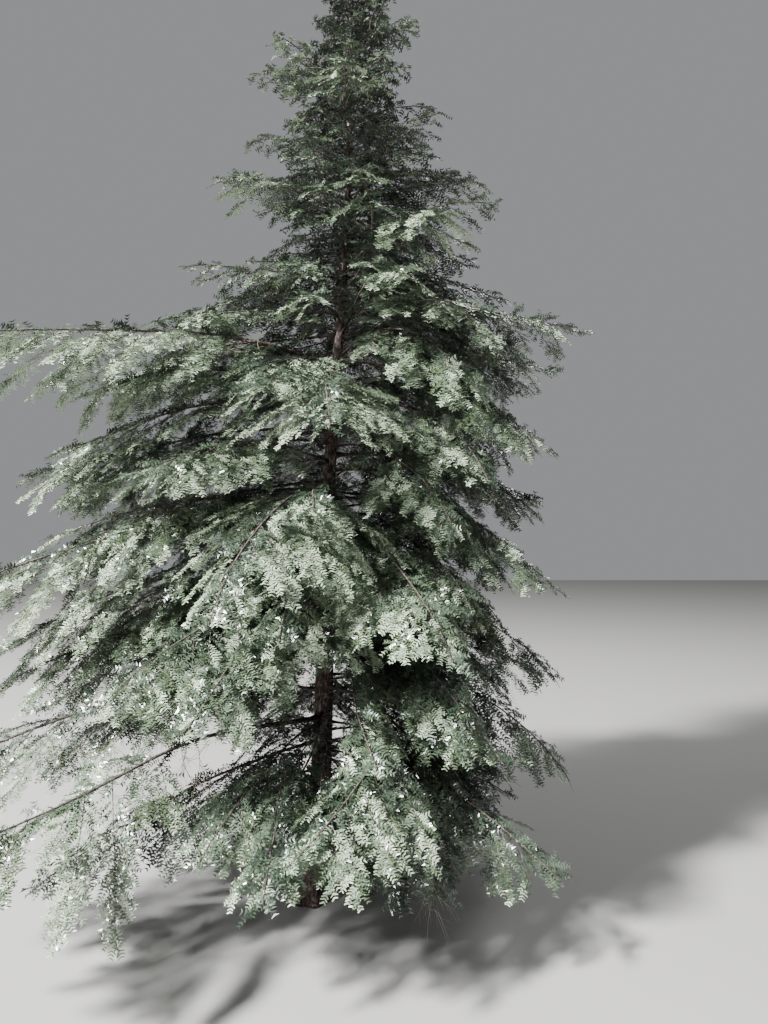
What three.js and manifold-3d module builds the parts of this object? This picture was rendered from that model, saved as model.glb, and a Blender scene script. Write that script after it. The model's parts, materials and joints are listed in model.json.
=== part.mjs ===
// A young eastern hemlock (Tsuga canadensis) of about 4.7 m, grown in the half shade of a wood.
// One leaning, tapering trunk carries long, thin boughs that leave it nearly level and droop at
// their ends. Each bough carries a flat fan of foliage: a stem with pairs of side sprays, each a
// toothed, drooping blade that stands for a twig with its rows of short needles. The boughs get
// shorter and steeper towards the top, where two further stems fork off each one.
//
// Millimetres, +Z up. The origin is the centre of the flat cut under the trunk, at ground level.
// +X is the tree's right and -Y its front. Bearings run from +X through +Y, the tree's back.
import * as THREE from "three";
import { mergeVertices } from "three/addons/utils/BufferGeometryUtils.js";
import Module from "manifold-3d";

const wasm = await Module();
wasm.setup();

// Trunk
const TRUNK_HEIGHT = 4560; // the ground to the woody tip of the leader
const TRUNK_RADIUS = 52; // just above the root flare
const TRUNK_TIP_RADIUS = 3;
const TRUNK_TAPER = 1.25; // above 1, the trunk thins faster near its foot
const TRUNK_LEAN = 0.044; // sideways run for each millimetre of height
const TRUNK_BEND = 12; // the slow bends either side of that lean
const TRUNK_BEND_LENGTH = 2400;
const TRUNK_BEND_BACK = 0.7; // how quick its bends to front and back are, beside those to the sides
const NOD_START = 3950; // the leader nods over from here up
const NOD = 120;
const FLARE = 0.55; // how much wider the foot is than the trunk, at the root lobes
const FLARE_HEIGHT = 90;
const FLARE_LOBES = 5;
const FLARE_LOBE_DEPTH = 0.5;
const TRUNK_SIDES = 12;
const TRUNK_RINGS = 20;
const TRUNK_RING_SHIFT = 1.4; // above 1, the rings crowd towards the foot

// Limbs
const CLEAR = 0.3; // between a limb and the trunk or foliage that it meets
const LIMB_STEPS = 16; // straight steps along a limb's curve
const LIMB_WANDER = 7; // degrees that a limb's heading wanders on its way out
const LIMB_WANDER_WAVES = 1.3;
const LIMB_LIFT = 3.5; // degrees that its slope wanders
const LIMB_LIFT_WAVES = 1.6;
const LIMB_ROOT_RADIUS = 3; // at the trunk, for a limb of no length
const LIMB_ROOT_GROWTH = 3.2; // what it gains with the square of the limb's length in metres
const LIMB_TIP_RADIUS = 1.6;
const LIMB_TAPER = 0.8;
const BARE = 0.3; // the inner share of a main bough or a forked limb, with no foliage on it
const BARE_SHORT = 0.17; // the same on other limbs
const BOUGH_SIDES = 6;
const BOUGH_SEGMENTS = 4;

// Side sprays
const PAIR_SPACING = 178; // from one pair of side sprays to the next, on a long limb
const PAIRS_LEAST = 3; // on a short one
const PAIRS_FORK = 2; // on the further stems of a forked limb
const PAIR_SHIFT = 0.1; // how far a pair may shift either way, as a share of the spacing
const ROOT_WIDTH = 46; // how much of the stem one pair takes up
const ROOT_SHARE = 0.4; // and the most of it, as a share of the spacing
const STEM_RADIUS = 2.4; // the least, out at the last pair
const STEM_DEPTH = 0.8; // its depth beside its width
const SPRAY_LENGTH = 0.4; // the longest side spray, as a share of the whole limb
const SPRAY_INNER = 0.7; // how long the innermost is beside the longest
const SPRAY_OUTER = 0.48; // and the outermost
const SPRAY_LONGEST_AT = 0.3; // where the longest one is, as a share of the foliage
const SPRAY_WIDTH = 0.24; // half the blade's width, as a share of the spray
const SPRAY_CROWDING = 0.5; // the most of the pair spacing that half a blade's width takes
const SPRAY_ANGLE_INNER = 60; // degrees off the stem
const SPRAY_ANGLE_OUTER = 42;
const SPRAY_ANGLE_CHANGE = 2.5; // by chance, either way
const SPRAY_LENGTH_CHANGE = 0.13;
const SPRAY_SAG = 0.46; // the downward slope that side sprays set off on, low in the crown
const SPRAY_SAG_TOP = 0.1; // and at its top
const SPRAY_SAG_CHANGE = 0.3; // the share of it that chance adds or takes
const SPRAY_DROOP = 0.16; // how much further its tip hangs, as a share of the spray
const SPRAY_THICKNESS = 0.011; // half the blade's thickness in its middle, as a share of the spray
const SPRAY_CORE = 1; // and what the twig inside adds to that
const SPRAY_MIDDLE = 0.42; // where the blade is thickest, as a share of the spray
const SPRAY_EDGE_DROP = 0.08; // how far its edges hang, as a share of half its width
const TIP_SPRAY = 0.16; // the spray at the limb's very end, as a share of the limb
const TIP_SPRAY_WIDTH = 0.3;
const TIP_SPRAY_DROOP = 0.04;
const CUT_BACK = [1, 0.85, 0.7, 0.57, 0.45]; // shares of its length that a spray is tried at

// One edge of a blade from root to tip, tooth, notch and tooth: shares of the length and the half width.
const BLADE_EDGE = [
  [0.3, 1],
  [0.4, 0.52],
  [0.62, 0.74],
];

// The space of each fan is the part of the crown that lies nearest to the drooping sheet of its
// own sprays. A height above or below the sheet counts more than the same distance out along it.
const SHEET_SAG = 0.4;
const SHEET_WEIGHT = 2;
const SPACE_GAP = 24;
const GROUND_GAP = 14;
const TRUNK_GAP = 30;

// The limbs of the lower crown, as the photograph shows them: the height where each leaves the
// trunk, the bearing it sets off on, its length to the last needle, its slope at the trunk and at
// its tip (degrees) and how far its bearing turns on the way. Some have a broader fan, and for these
// it says how much longer the side sprays are, and one is bare for more of its length than the rest.
// A main bough is a solid of its own as far as its foliage. The others are one solid each.
const MAIN_BOUGHS = {
  left_high: { height: 2360, bearing: 212, length: 1650, rise: 8, fall: -18, turn: 0 },
  left_upper: { height: 2070, bearing: 172, length: 1400, rise: -6, fall: -14, turn: 8 },
  left_back: { height: 1950, bearing: 148, length: 1450, rise: 2, fall: -22, turn: 8 },
  left_middle: { height: 1640, bearing: 196, length: 1720, rise: 4, fall: -26, turn: 4 },
  left_low: { height: 1090, bearing: 203, length: 1750, rise: -6, fall: -20, turn: 6 },
  left_front: { height: 790, bearing: 228, length: 1620, rise: 4, fall: -18, turn: 0, bare: 0.5 },
  front_low: { height: 930, bearing: 322, length: 1300, rise: 2, fall: -34, turn: -112, broad: 1.2 },
  right_high: { height: 2390, bearing: 336, length: 1080, rise: -6, fall: -46, turn: 0 },
  right_upper: { height: 2590, bearing: 2, length: 1120, rise: 10, fall: -16, turn: 0 },
  right_back: { height: 1950, bearing: 14, length: 1120, rise: 14, fall: -44, turn: 0 },
  right_low: { height: 1060, bearing: 346, length: 1180, rise: 6, fall: -50, turn: -10 },
  right_ground: { height: 650, bearing: 322, length: 1180, rise: 8, fall: -36, turn: 4 },
};
const OTHER_LIMBS = {
  front_high: { height: 2200, bearing: 272, length: 980, rise: 12, fall: -44, turn: 0, broad: 1.35 },
  front_middle: { height: 1790, bearing: 254, length: 1280, rise: 4, fall: -48, turn: 4 },
  front_right: { height: 1600, bearing: 300, length: 1150, rise: 6, fall: -52, turn: -6 },
  front_left: { height: 1380, bearing: 236, length: 1250, rise: 4, fall: -40, turn: 0 },
  right_middle: { height: 1760, bearing: 340, length: 1120, rise: 8, fall: -50, turn: 0 },
  right_waist: { height: 1360, bearing: 352, length: 1120, rise: 8, fall: -50, turn: 0 },
  right_front: { height: 1180, bearing: 312, length: 1080, rise: 6, fall: -46, turn: 0 },
  left_waist: { height: 1370, bearing: 180, length: 1500, rise: 2, fall: -26, turn: 6 },
  front_foot: { height: 760, bearing: 250, length: 1000, rise: 6, fall: -34, turn: 0 },
  front_ground: { height: 640, bearing: 284, length: 900, rise: 6, fall: -32, turn: 0 },
};

// Limbs that fill the back, evenly, and climb the upper trunk in a spiral.
const CROWN_FOOT = 600;
const CROWN_TOP = 4750;
const RISE_FOOT = 4; // a limb's slope at the trunk, in degrees, low in the crown
const RISE_TOP = 48; // and at its top
const RISE_SHAPE = 1.3;
const FALL_FOOT = -34; // its slope at its tip, low in the crown
const FALL_TOP = -16;
const BACK_COUNT = 9;
const BACK_FOOT = 640; // height of the lowest
const BACK_STEP = 215;
const BACK_FROM = 35; // the bearings they keep to
const BACK_SPREAD = 105;
const BACK_LENGTH = 1165;
const TOP_COUNT = 15;
const TOP_FOOT = 2640;
const TOP_STEP = 124;
const TOP_BEARING = 165;
const TOP_LENGTH = 920; // at the foot of the upper crown
const TOP_SHAPE = 1.15; // above 1, the upper crown narrows faster near its foot
const LENGTH_CHANGE = 0.1; // by chance, either way
const BACK_PICK = 90; // which choice of chance sets the length of a limb in the back
const TOP_PICK = 91; // and of one in the upper crown
const GOLDEN_ANGLE = 137.5;
const GOLDEN_SHARE = 0.618;
// The further stems of an upper limb: where each leaves the first stem, as a share of it, its
// length as a share of the first, and how many degrees it turns to one side and climbs steeper.
const FORKS = [
  { share: 0.18, length: 0.76, turn: 42, rise: 22 },
  { share: 0.32, length: 0.6, turn: -38, rise: 12 },
];
const LEADER = {
  name: "leader",
  height: TRUNK_HEIGHT,
  bearing: 10,
  length: 210,
  rise: 84,
  fall: 40,
  turn: 0,
};

const UP = new THREE.Vector3(0, 0, 1);
const radians = THREE.MathUtils.degToRad;
const mix = THREE.MathUtils.lerp;
const clamp = THREE.MathUtils.clamp;

// A number from 0 to 1 for one choice made on one limb, always the same.
function chance(limb, choice) {
  const value = Math.sin(limb * 127.1 + choice * 311.7) * 43758.5453;
  return value - Math.floor(value);
}

// The trunk's axis and radius at a height.
function trunkAxis(z) {
  const turn = (2 * Math.PI * z) / TRUNK_BEND_LENGTH;
  const nod = NOD * (Math.max(0, z - NOD_START) / (CROWN_TOP - NOD_START)) ** 2;
  const x = TRUNK_LEAN * z + TRUNK_BEND * Math.sin(turn) + nod;
  return new THREE.Vector3(x, TRUNK_BEND * Math.sin(TRUNK_BEND_BACK * turn), z);
}

function trunkRadius(z) {
  const share = Math.max(0, 1 - z / TRUNK_HEIGHT);
  return TRUNK_TIP_RADIUS + (TRUNK_RADIUS - TRUNK_TIP_RADIUS) * share ** TRUNK_TAPER;
}

// A limb's length by chance, and its slopes from its height in the crown.
function limbAt(height, bearing, length, pick) {
  const share = clamp((height - CROWN_FOOT) / (CROWN_TOP - CROWN_FOOT), 0, 1);
  return {
    height,
    bearing,
    length: length * mix(1 - LENGTH_CHANGE, 1 + LENGTH_CHANGE, pick),
    rise: mix(RISE_FOOT, RISE_TOP, share ** RISE_SHAPE),
    fall: mix(FALL_FOOT, FALL_TOP, share),
    turn: 0,
  };
}

// Every limb and further stem of the tree, in the order that counts them for their chances.
function allLimbs() {
  const limbs = Object.entries(MAIN_BOUGHS).map(([name, limb]) => ({ name, bough: true, ...limb }));
  limbs.push(...Object.entries(OTHER_LIMBS).map(([name, limb]) => ({ name, ...limb })));
  for (let i = 0; i < BACK_COUNT; i++) {
    const bearing = BACK_FROM + BACK_SPREAD * ((i * GOLDEN_SHARE) % 1);
    const limb = limbAt(BACK_FOOT + BACK_STEP * i, bearing, BACK_LENGTH, chance(i, BACK_PICK));
    limbs.push({ name: `back_${i + 1}`, ...limb });
  }
  for (let i = 0; i < TOP_COUNT; i++) {
    const height = TOP_FOOT + TOP_STEP * i;
    const length = TOP_LENGTH * ((CROWN_TOP - height) / (CROWN_TOP - TOP_FOOT)) ** TOP_SHAPE;
    const limb = limbAt(height, TOP_BEARING + GOLDEN_ANGLE * i, length, chance(i, TOP_PICK));
    const parent = limbs.push({ name: `top_${i + 1}`, forked: true, ...limb }) - 1;
    for (const fork of FORKS) {
      limbs.push({
        parent,
        from: fork.share,
        height,
        bearing: limb.bearing + (i % 2 ? fork.turn : -fork.turn),
        length: fork.length * limb.length,
        rise: limb.rise + fork.rise,
        fall: limb.fall + fork.rise / 2,
        turn: 0,
      });
    }
  }
  limbs.push(LEADER);
  return limbs;
}

// The points along a limb to its last needle, from the trunk's axis or from the stem that it forks off.
function limbPath(limb, seed, paths) {
  const isFork = limb.parent !== undefined;
  const points = [isFork ? placeOn(paths[limb.parent], limb.from).point : trunkAxis(limb.height)];
  for (let k = 0; k < LIMB_STEPS; k++) {
    const share = (k + 0.5) / LIMB_STEPS;
    const wander = LIMB_WANDER * Math.sin(2 * Math.PI * (LIMB_WANDER_WAVES * share + chance(seed, 1)));
    const lift = LIMB_LIFT * Math.sin(2 * Math.PI * (LIMB_LIFT_WAVES * share + chance(seed, 2)));
    const heading = radians(limb.bearing + limb.turn * share + wander);
    const pitch = radians(mix(limb.rise, limb.fall, share) + lift);
    const along = new THREE.Vector3(Math.cos(heading), Math.sin(heading), 0);
    along.multiplyScalar(Math.cos(pitch)).setZ(Math.sin(pitch));
    points.push(points[k].clone().addScaledVector(along, limb.length / LIMB_STEPS));
  }
  return points;
}

// A place on a limb, the way it runs there and the level direction across it, to its left.
function placeOn(path, share) {
  const at = clamp(share, 0, 1) * LIMB_STEPS;
  const k = Math.min(LIMB_STEPS - 1, Math.floor(at));
  const point = path[k].clone().lerp(path[k + 1], at - k);
  const along = path[Math.min(LIMB_STEPS, k + 2)].clone().sub(path[Math.max(0, k - 1)]).normalize();
  return { point, along, across: UP.clone().cross(along).normalize() };
}

function limbRadius(limb, share) {
  const root = LIMB_ROOT_RADIUS + LIMB_ROOT_GROWTH * (limb.length / 1000) ** 2;
  return mix(root, LIMB_TIP_RADIUS, share ** LIMB_TAPER);
}

// A solid from a three.js geometry that is closed, once its shared corners are merged.
function solid(geometry) {
  const bare = geometry.index ? geometry.toNonIndexed() : geometry;
  bare.deleteAttribute("normal");
  bare.deleteAttribute("uv");
  const merged = mergeVertices(bare, 1e-4);
  const corners = merged.index.array;
  const kept = [];
  for (let i = 0; i < corners.length; i += 3) {
    const [a, b, c] = corners.slice(i, i + 3);
    if (a !== b && b !== c && c !== a) kept.push(a, b, c);
  }
  const vertProperties = new Float32Array(merged.attributes.position.array);
  return new wasm.Manifold(new wasm.Mesh({ numProp: 3, vertProperties, triVerts: new Uint32Array(kept) }));
}

// The largest body of a solid, without the scraps that a cut leaves.
function largest(shape) {
  return shape.decompose().sort((a, b) => b.volume() - a.volume())[0];
}

// The trunk: a turned profile, widened into root lobes at its foot and shifted onto the leaning
// axis. It can be made a little larger all over, as the room that is kept free for it.
function trunkGeometry(extra) {
  const profile = [new THREE.Vector2(0, 0)];
  for (let i = 0; i <= TRUNK_RINGS; i++) {
    const z = TRUNK_HEIGHT * (i / TRUNK_RINGS) ** TRUNK_RING_SHIFT;
    profile.push(new THREE.Vector2(trunkRadius(z), z));
  }
  profile.push(new THREE.Vector2(0, TRUNK_HEIGHT));
  const geometry = new THREE.LatheGeometry(profile, TRUNK_SIDES).rotateX(Math.PI / 2);
  const places = geometry.attributes.position;
  for (let i = 0; i < places.count; i++) {
    const [x, y, z] = [places.getX(i), places.getY(i), places.getZ(i)];
    const radius = Math.hypot(x, y);
    const lobe = 1 - FLARE_LOBE_DEPTH * (0.5 - 0.5 * Math.cos(FLARE_LOBES * Math.atan2(y, x)));
    const wider = 1 + FLARE * lobe * Math.exp(-z / FLARE_HEIGHT);
    const scale = radius > extra ? wider + extra / radius : 0;
    const axis = trunkAxis(z);
    places.setXYZ(i, axis.x + scale * x, axis.y + scale * y, z === TRUNK_HEIGHT ? z + extra : z);
  }
  return geometry;
}

// How much of a limb, from the trunk out, has no foliage on it.
function bareShare(limb) {
  return limb.bare ?? (limb.bough || limb.forked ? BARE : BARE_SHORT);
}

// A main bough from the trunk's axis to its foliage: a cylinder bent along its path, with its taper.
function boughGeometry(path, limb) {
  const geometry = new THREE.CylinderGeometry(1, 1, 1, BOUGH_SIDES, BOUGH_SEGMENTS);
  const places = geometry.attributes.position;
  for (let i = 0; i < places.count; i++) {
    const share = bareShare(limb) * (places.getY(i) + 0.5);
    const { point, along, across } = placeOn(path, share);
    const below = across.clone().cross(along);
    point.addScaledVector(across, places.getX(i) * limbRadius(limb, share));
    point.addScaledVector(below, places.getZ(i) * limbRadius(limb, share));
    places.setXYZ(i, point.x, point.y, point.z);
  }
  return geometry;
}

// A spray as a flat, toothed, drooping blade: its rim from the right edge round the tip to the
// left edge, and the points over and under its middle.
function sprayShape(base, forward, length, width, droop) {
  const side = UP.clone().cross(forward).normalize();
  const lift = forward.clone().cross(side);
  const place = (x, y, z) => {
    const drop = droop * length * x * x + SPRAY_EDGE_DROP * width * Math.abs(y);
    const point = base.clone().addScaledVector(forward, x * length).addScaledVector(side, y * width);
    return point.addScaledVector(lift, z - drop);
  };
  const right = BLADE_EDGE.map(([x, y]) => place(x, -y, 0));
  const left = BLADE_EDGE.map(([x, y]) => place(x, y, 0)).reverse();
  const thick = SPRAY_THICKNESS * length + SPRAY_CORE;
  const rim = [...right, place(1, 0, 0), ...left];
  return { rim, over: place(SPRAY_MIDDLE, 0, thick), under: place(SPRAY_MIDDLE, 0, -thick) };
}

function quadFaces(a, b, c, d) {
  return [
    [a, b, c],
    [a, c, d],
  ];
}

// The faces of a blade that grows from a four-cornered root. Seen from above, its edge runs
// anticlockwise from the first side of the root to the second and on round the rim.
function bladeFaces([firstTop, firstBottom], [secondTop, secondBottom], { rim, over, under }) {
  const top = [firstTop, secondTop, ...rim, firstTop];
  const bottom = [firstBottom, secondBottom, ...rim, firstBottom];
  const faces = [
    [firstTop, rim[rim.length - 1], firstBottom],
    [secondBottom, rim[0], secondTop],
  ];
  for (let i = 0; i + 1 < top.length; i++) {
    faces.push([over, top[i], top[i + 1]], [under, bottom[i + 1], bottom[i]]);
  }
  return faces;
}

// The faces of a stem's stretch between two rings, with a blade or a plain side at its left and right.
function stretchFaces(near, far, left, right) {
  return [
    ...quadFaces(near.right[0], far.right[0], far.left[0], near.left[0]),
    ...quadFaces(near.left[1], far.left[1], far.right[1], near.right[1]),
    ...(left
      ? bladeFaces(near.left, far.left, left)
      : quadFaces(near.left[0], far.left[0], far.left[1], near.left[1])),
    ...(right
      ? bladeFaces(far.right, near.right, right)
      : quadFaces(far.right[0], near.right[0], near.right[1], far.right[1])),
  ];
}

// The four corners of a stem at a share of its path: top and bottom, at its left and right.
function stemRing(path, limb, share) {
  const { point, along, across } = placeOn(path, share);
  const radius = Math.max(STEM_RADIUS, limbRadius(limb, share));
  const lift = along.clone().cross(across).multiplyScalar(STEM_DEPTH * radius);
  const [left, right] = [radius, -radius].map((reach) => {
    const edge = point.clone().addScaledVector(across, reach);
    return [edge.clone().add(lift), edge.clone().sub(lift)];
  });
  return { left, right };
}

// How far a point lies from the drooping sheet of a limb's sprays.
function sheetDistance(path, point) {
  let least = Infinity;
  for (let k = 0; k < LIMB_STEPS; k++) {
    const [from, to] = [path[k], path[k + 1]];
    const [x, y] = [to.x - from.x, to.y - from.y];
    const along = ((point.x - from.x) * x + (point.y - from.y) * y) / (x * x + y * y);
    const share = clamp(along, 0, 1);
    const out = Math.hypot(point.x - from.x - share * x, point.y - from.y - share * y);
    const above = point.z - mix(from.z, to.z, share) + SHEET_SAG * out;
    least = Math.min(least, Math.hypot(out, SHEET_WEIGHT * above));
  }
  return least;
}

// Whether a rim stays in the space of its own fan, off the ground and off the trunk.
function inOwnSpace(paths, own, rim) {
  const between = rim.slice(1).map((point, i) => point.clone().lerp(rim[i], 0.5));
  return [...rim, ...between].every((point) => {
    if (point.z < GROUND_GAP) return false;
    const axis = trunkAxis(point.z);
    const out = Math.hypot(point.x - axis.x, point.y - axis.y);
    if (point.z < TRUNK_HEIGHT && out < trunkRadius(point.z) + TRUNK_GAP) return false;
    const reach = sheetDistance(paths[own], point) + SPACE_GAP;
    return paths.every((path, other) => other === own || sheetDistance(path, point) > reach);
  });
}

// Whether two rims of one fan cross, seen from above.
function rimsCross(first, second) {
  const turns = (a, b, c) => (b.x - a.x) * (c.y - a.y) > (b.y - a.y) * (c.x - a.x);
  for (let i = 0; i + 1 < first.length; i++) {
    for (let j = 0; j + 1 < second.length; j++) {
      const [a, b, c, d] = [first[i], first[i + 1], second[j], second[j + 1]];
      if (turns(a, b, c) !== turns(a, b, d) && turns(c, d, a) !== turns(c, d, b)) return true;
    }
  }
  return false;
}

// How long a side spray is beside the longest, at a share of the foliage.
function sprayReach(share) {
  if (share < SPRAY_LONGEST_AT) return mix(SPRAY_INNER, 1, share / SPRAY_LONGEST_AT);
  return mix(1, SPRAY_OUTER, (share - SPRAY_LONGEST_AT) / (1 - SPRAY_LONGEST_AT));
}

// Where the foliage of a limb starts and ends, and its pairs of side sprays.
function foliagePlan(limb) {
  const isFork = limb.parent !== undefined;
  const start = bareShare(limb);
  const end = 1 - TIP_SPRAY;
  const least = isFork ? PAIRS_FORK : PAIRS_LEAST;
  const pairs = Math.max(least, Math.round(((end - start) * limb.length) / PAIR_SPACING));
  return { start, end, pairs, spacing: ((end - start) * limb.length) / pairs };
}

// One side spray, to the left (hand 1) or right (hand -1), cut back until it keeps to the fan's
// space and clear of the sprays there are, or null where there is no room for it.
function sideSpray(paths, own, limb, plan, k, hand, at, taken) {
  const pick = (choice) => 2 * chance(own, 20 * choice + 2 * k + (hand > 0 ? 0 : 1)) - 1;
  const share = (at - plan.start) / (plan.end - plan.start);
  const { point, along, across } = placeOn(paths[own], at);
  const angle = radians(mix(SPRAY_ANGLE_INNER, SPRAY_ANGLE_OUTER, share) + SPRAY_ANGLE_CHANGE * pick(1));
  const sag = mix(SPRAY_SAG, SPRAY_SAG_TOP, clamp(limb.height / CROWN_TOP, 0, 1));
  const forward = along.clone().multiplyScalar(Math.cos(angle));
  forward.addScaledVector(across, hand * Math.sin(angle));
  forward.addScaledVector(UP, -sag * (1 + SPRAY_SAG_CHANGE * pick(2))).normalize();
  const longest = SPRAY_LENGTH * limb.length * (limb.broad ?? 1);
  const full = longest * sprayReach(share) * (1 + SPRAY_LENGTH_CHANGE * pick(3));
  for (const cut of CUT_BACK) {
    const length = full * cut;
    const width = Math.min(SPRAY_WIDTH * length, SPRAY_CROWDING * plan.spacing * Math.sin(angle));
    const spray = sprayShape(point, forward, length, width, SPRAY_DROOP);
    const crossing = taken.some((rim) => rimsCross(rim, spray.rim));
    if (!crossing && inOwnSpace(paths, own, spray.rim)) {
      taken.push(spray.rim);
      return spray;
    }
  }
  return null;
}

// A fan of foliage as one closed surface: a four-sided stem with pairs of blades on its sides and
// one on its end.
function fanGeometry(paths, own, limb, from) {
  const path = paths[own];
  const plan = foliagePlan(limb);
  const root = Math.min(ROOT_WIDTH, ROOT_SHARE * plan.spacing) / limb.length;
  const { point: base } = placeOn(path, plan.end);
  const forward = path[LIMB_STEPS].clone().sub(base);
  const length = forward.length();
  const tip = sprayShape(base, forward.normalize(), length, TIP_SPRAY_WIDTH * length, TIP_SPRAY_DROOP);
  const taken = [tip.rim];
  let near = stemRing(path, limb, from);
  const faces = quadFaces(near.left[0], near.left[1], near.right[1], near.right[0]);
  for (const { share } of limb.forked ? FORKS : []) {
    const joint = stemRing(path, limb, share);
    faces.push(...stretchFaces(near, joint, null, null));
    near = joint;
  }
  for (let k = 0; k < plan.pairs; k++) {
    const shift = PAIR_SHIFT * (2 * chance(own, 5 + k) - 1);
    const at = mix(plan.start, plan.end, (k + 0.5 + shift) / plan.pairs);
    const left = sideSpray(paths, own, limb, plan, k, 1, at, taken);
    const right = sideSpray(paths, own, limb, plan, k, -1, at, taken);
    const start = stemRing(path, limb, at - root / 2);
    const end = stemRing(path, limb, at + root / 2);
    faces.push(...stretchFaces(near, start, null, null), ...stretchFaces(start, end, left, right));
    near = end;
  }
  const last = stemRing(path, limb, plan.end);
  faces.push(...stretchFaces(near, last, null, null), ...bladeFaces(last.left, last.right, tip));
  return new THREE.BufferGeometry().setFromPoints(faces.flat());
}

const bark = new THREE.MeshStandardMaterial({ color: 0x574a45, roughness: 0.9, metalness: 0 });
const limbBark = new THREE.MeshStandardMaterial({ color: 0x4a403c, roughness: 0.85, metalness: 0 });
const needles = new THREE.MeshStandardMaterial({ color: 0x4d6b50, roughness: 0.5, metalness: 0 });

const tree = new THREE.Group();
function add(name, shape, material) {
  const { vertProperties, triVerts } = shape.getMesh();
  const geometry = new THREE.BufferGeometry();
  geometry.setAttribute("position", new THREE.BufferAttribute(vertProperties, 3));
  geometry.setIndex(new THREE.BufferAttribute(triVerts, 1));
  const mesh = new THREE.Mesh(geometry, material);
  mesh.name = name;
  tree.add(mesh);
}

add("trunk", solid(trunkGeometry(0)), bark);
const room = solid(trunkGeometry(CLEAR));

const limbs = allLimbs();
const paths = [];
limbs.forEach((limb, seed) => paths.push(limbPath(limb, seed, paths)));

limbs.forEach((limb, own) => {
  if (limb.parent !== undefined) return;
  if (limb.bough) {
    add(`bough_${limb.name}`, largest(solid(boughGeometry(paths[own], limb)).subtract(room)), limbBark);
    const fan = solid(fanGeometry(paths, own, limb, bareShare(limb) + CLEAR / limb.length));
    add(`foliage_${limb.name}`, fan, needles);
    return;
  }
  let fan = solid(fanGeometry(paths, own, limb, 0));
  limbs.forEach((fork, index) => {
    if (fork.parent === own) fan = fan.add(solid(fanGeometry(paths, index, fork, 0)));
  });
  add(`foliage_${limb.name}`, largest(fan.subtract(room)), needles);
});

export default tree;
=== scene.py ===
# A young eastern hemlock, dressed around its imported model: bark, twigs and needles, each at its real
# size where the count of needles allows. Metres, +Z up, with the origin at the foot of the trunk.
import json
import math
from dataclasses import dataclass, replace

import bpy
import numpy as np
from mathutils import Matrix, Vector, noise

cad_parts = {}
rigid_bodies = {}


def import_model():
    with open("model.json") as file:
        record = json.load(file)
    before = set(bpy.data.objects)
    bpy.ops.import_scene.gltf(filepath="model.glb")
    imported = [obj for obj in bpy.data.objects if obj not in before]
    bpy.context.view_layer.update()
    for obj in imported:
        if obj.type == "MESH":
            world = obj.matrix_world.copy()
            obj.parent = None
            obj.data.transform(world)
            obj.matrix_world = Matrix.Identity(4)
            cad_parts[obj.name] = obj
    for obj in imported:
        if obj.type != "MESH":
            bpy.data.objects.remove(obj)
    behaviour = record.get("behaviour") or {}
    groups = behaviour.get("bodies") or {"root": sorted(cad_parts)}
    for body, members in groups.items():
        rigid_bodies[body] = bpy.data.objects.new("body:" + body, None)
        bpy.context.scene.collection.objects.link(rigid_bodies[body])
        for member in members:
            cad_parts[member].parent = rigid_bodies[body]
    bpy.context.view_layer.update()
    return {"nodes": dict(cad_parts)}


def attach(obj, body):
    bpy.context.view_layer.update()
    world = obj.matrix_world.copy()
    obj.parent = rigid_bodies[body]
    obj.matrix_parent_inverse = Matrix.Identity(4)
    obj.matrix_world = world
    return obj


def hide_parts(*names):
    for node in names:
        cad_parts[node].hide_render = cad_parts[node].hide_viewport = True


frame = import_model()


# Trunk
# The living stem, whole from the ground to its tip. Its thin bark breaks into small upright scales,
# deepest at the foot and almost gone in the top. It leans to the right and flares at its foot.
TRUNK_HEIGHT = 4.56
TRUNK_RADIUS = 0.052
TRUNK_TIP_RADIUS = 0.003
TRUNK_TAPER = 1.25
TRUNK_LEAN = 0.044
TRUNK_BEND = 0.012
TRUNK_BEND_LENGTH = 2.4
TRUNK_BEND_BACK = 0.7
NOD_START = 3.95  # the height from which the leader nods, and how far
NOD = 0.12
CROWN_TOP = 4.75
FLARE = 0.55
FLARE_HEIGHT = 0.09
FLARE_LOBES = 5
FLARE_LOBE_DEPTH = 0.5
BARK_COLUMNS = 64
BARK_ROWS = 560
ROW_CROWDING = 1.15  # of the rows of corners towards the foot
SCALE_WIDTH = 0.011  # of one scale of bark
SCALE_HEIGHT = 0.034
SCALE_WARP = 0.35  # how far the scales are pushed out of line
SCALE_WARP_RATE = 0.6
SCALE_CURL = 0.35  # how much more a scale's lower edge stands off
SCALE_LEVEL = 0.8
CRACK_SHARE = 0.3  # of a scale, that slopes down into the cracks round it
GRAIN_HEIGHT = 0.18
GRAIN_ACROSS = 3.1  # how often the grain changes in the space of a scale
GRAIN_UP = 0.8
RELIEF = (0.0026, 0.0004)  # how deep the cracks are at the foot and at the top
RELIEF_MOST = 0.12  # of the trunk's radius
RELIEF_LEVEL = 0.6  # the height of bark that keeps to the solid's surface
WARP_SEED = 7  # without it the scales are warped another way in each run


def unit(vectors):
    return vectors / np.linalg.norm(vectors, axis=-1, keepdims=True)


def mix(low, high, share):
    return low + (high - low) * share


def trunk_axis(z):
    z = np.asarray(z, float)
    turn = 2 * math.pi * z / TRUNK_BEND_LENGTH
    nod = NOD * (np.maximum(0, z - NOD_START) / (CROWN_TOP - NOD_START)) ** 2
    x = TRUNK_LEAN * z + TRUNK_BEND * np.sin(turn) + nod
    return np.stack([x, TRUNK_BEND * np.sin(TRUNK_BEND_BACK * turn), z], axis=-1)


def trunk_radius(z):
    share = np.maximum(0, 1 - np.asarray(z) / TRUNK_HEIGHT)
    return TRUNK_TIP_RADIUS + (TRUNK_RADIUS - TRUNK_TIP_RADIUS) * share**TRUNK_TAPER


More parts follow.
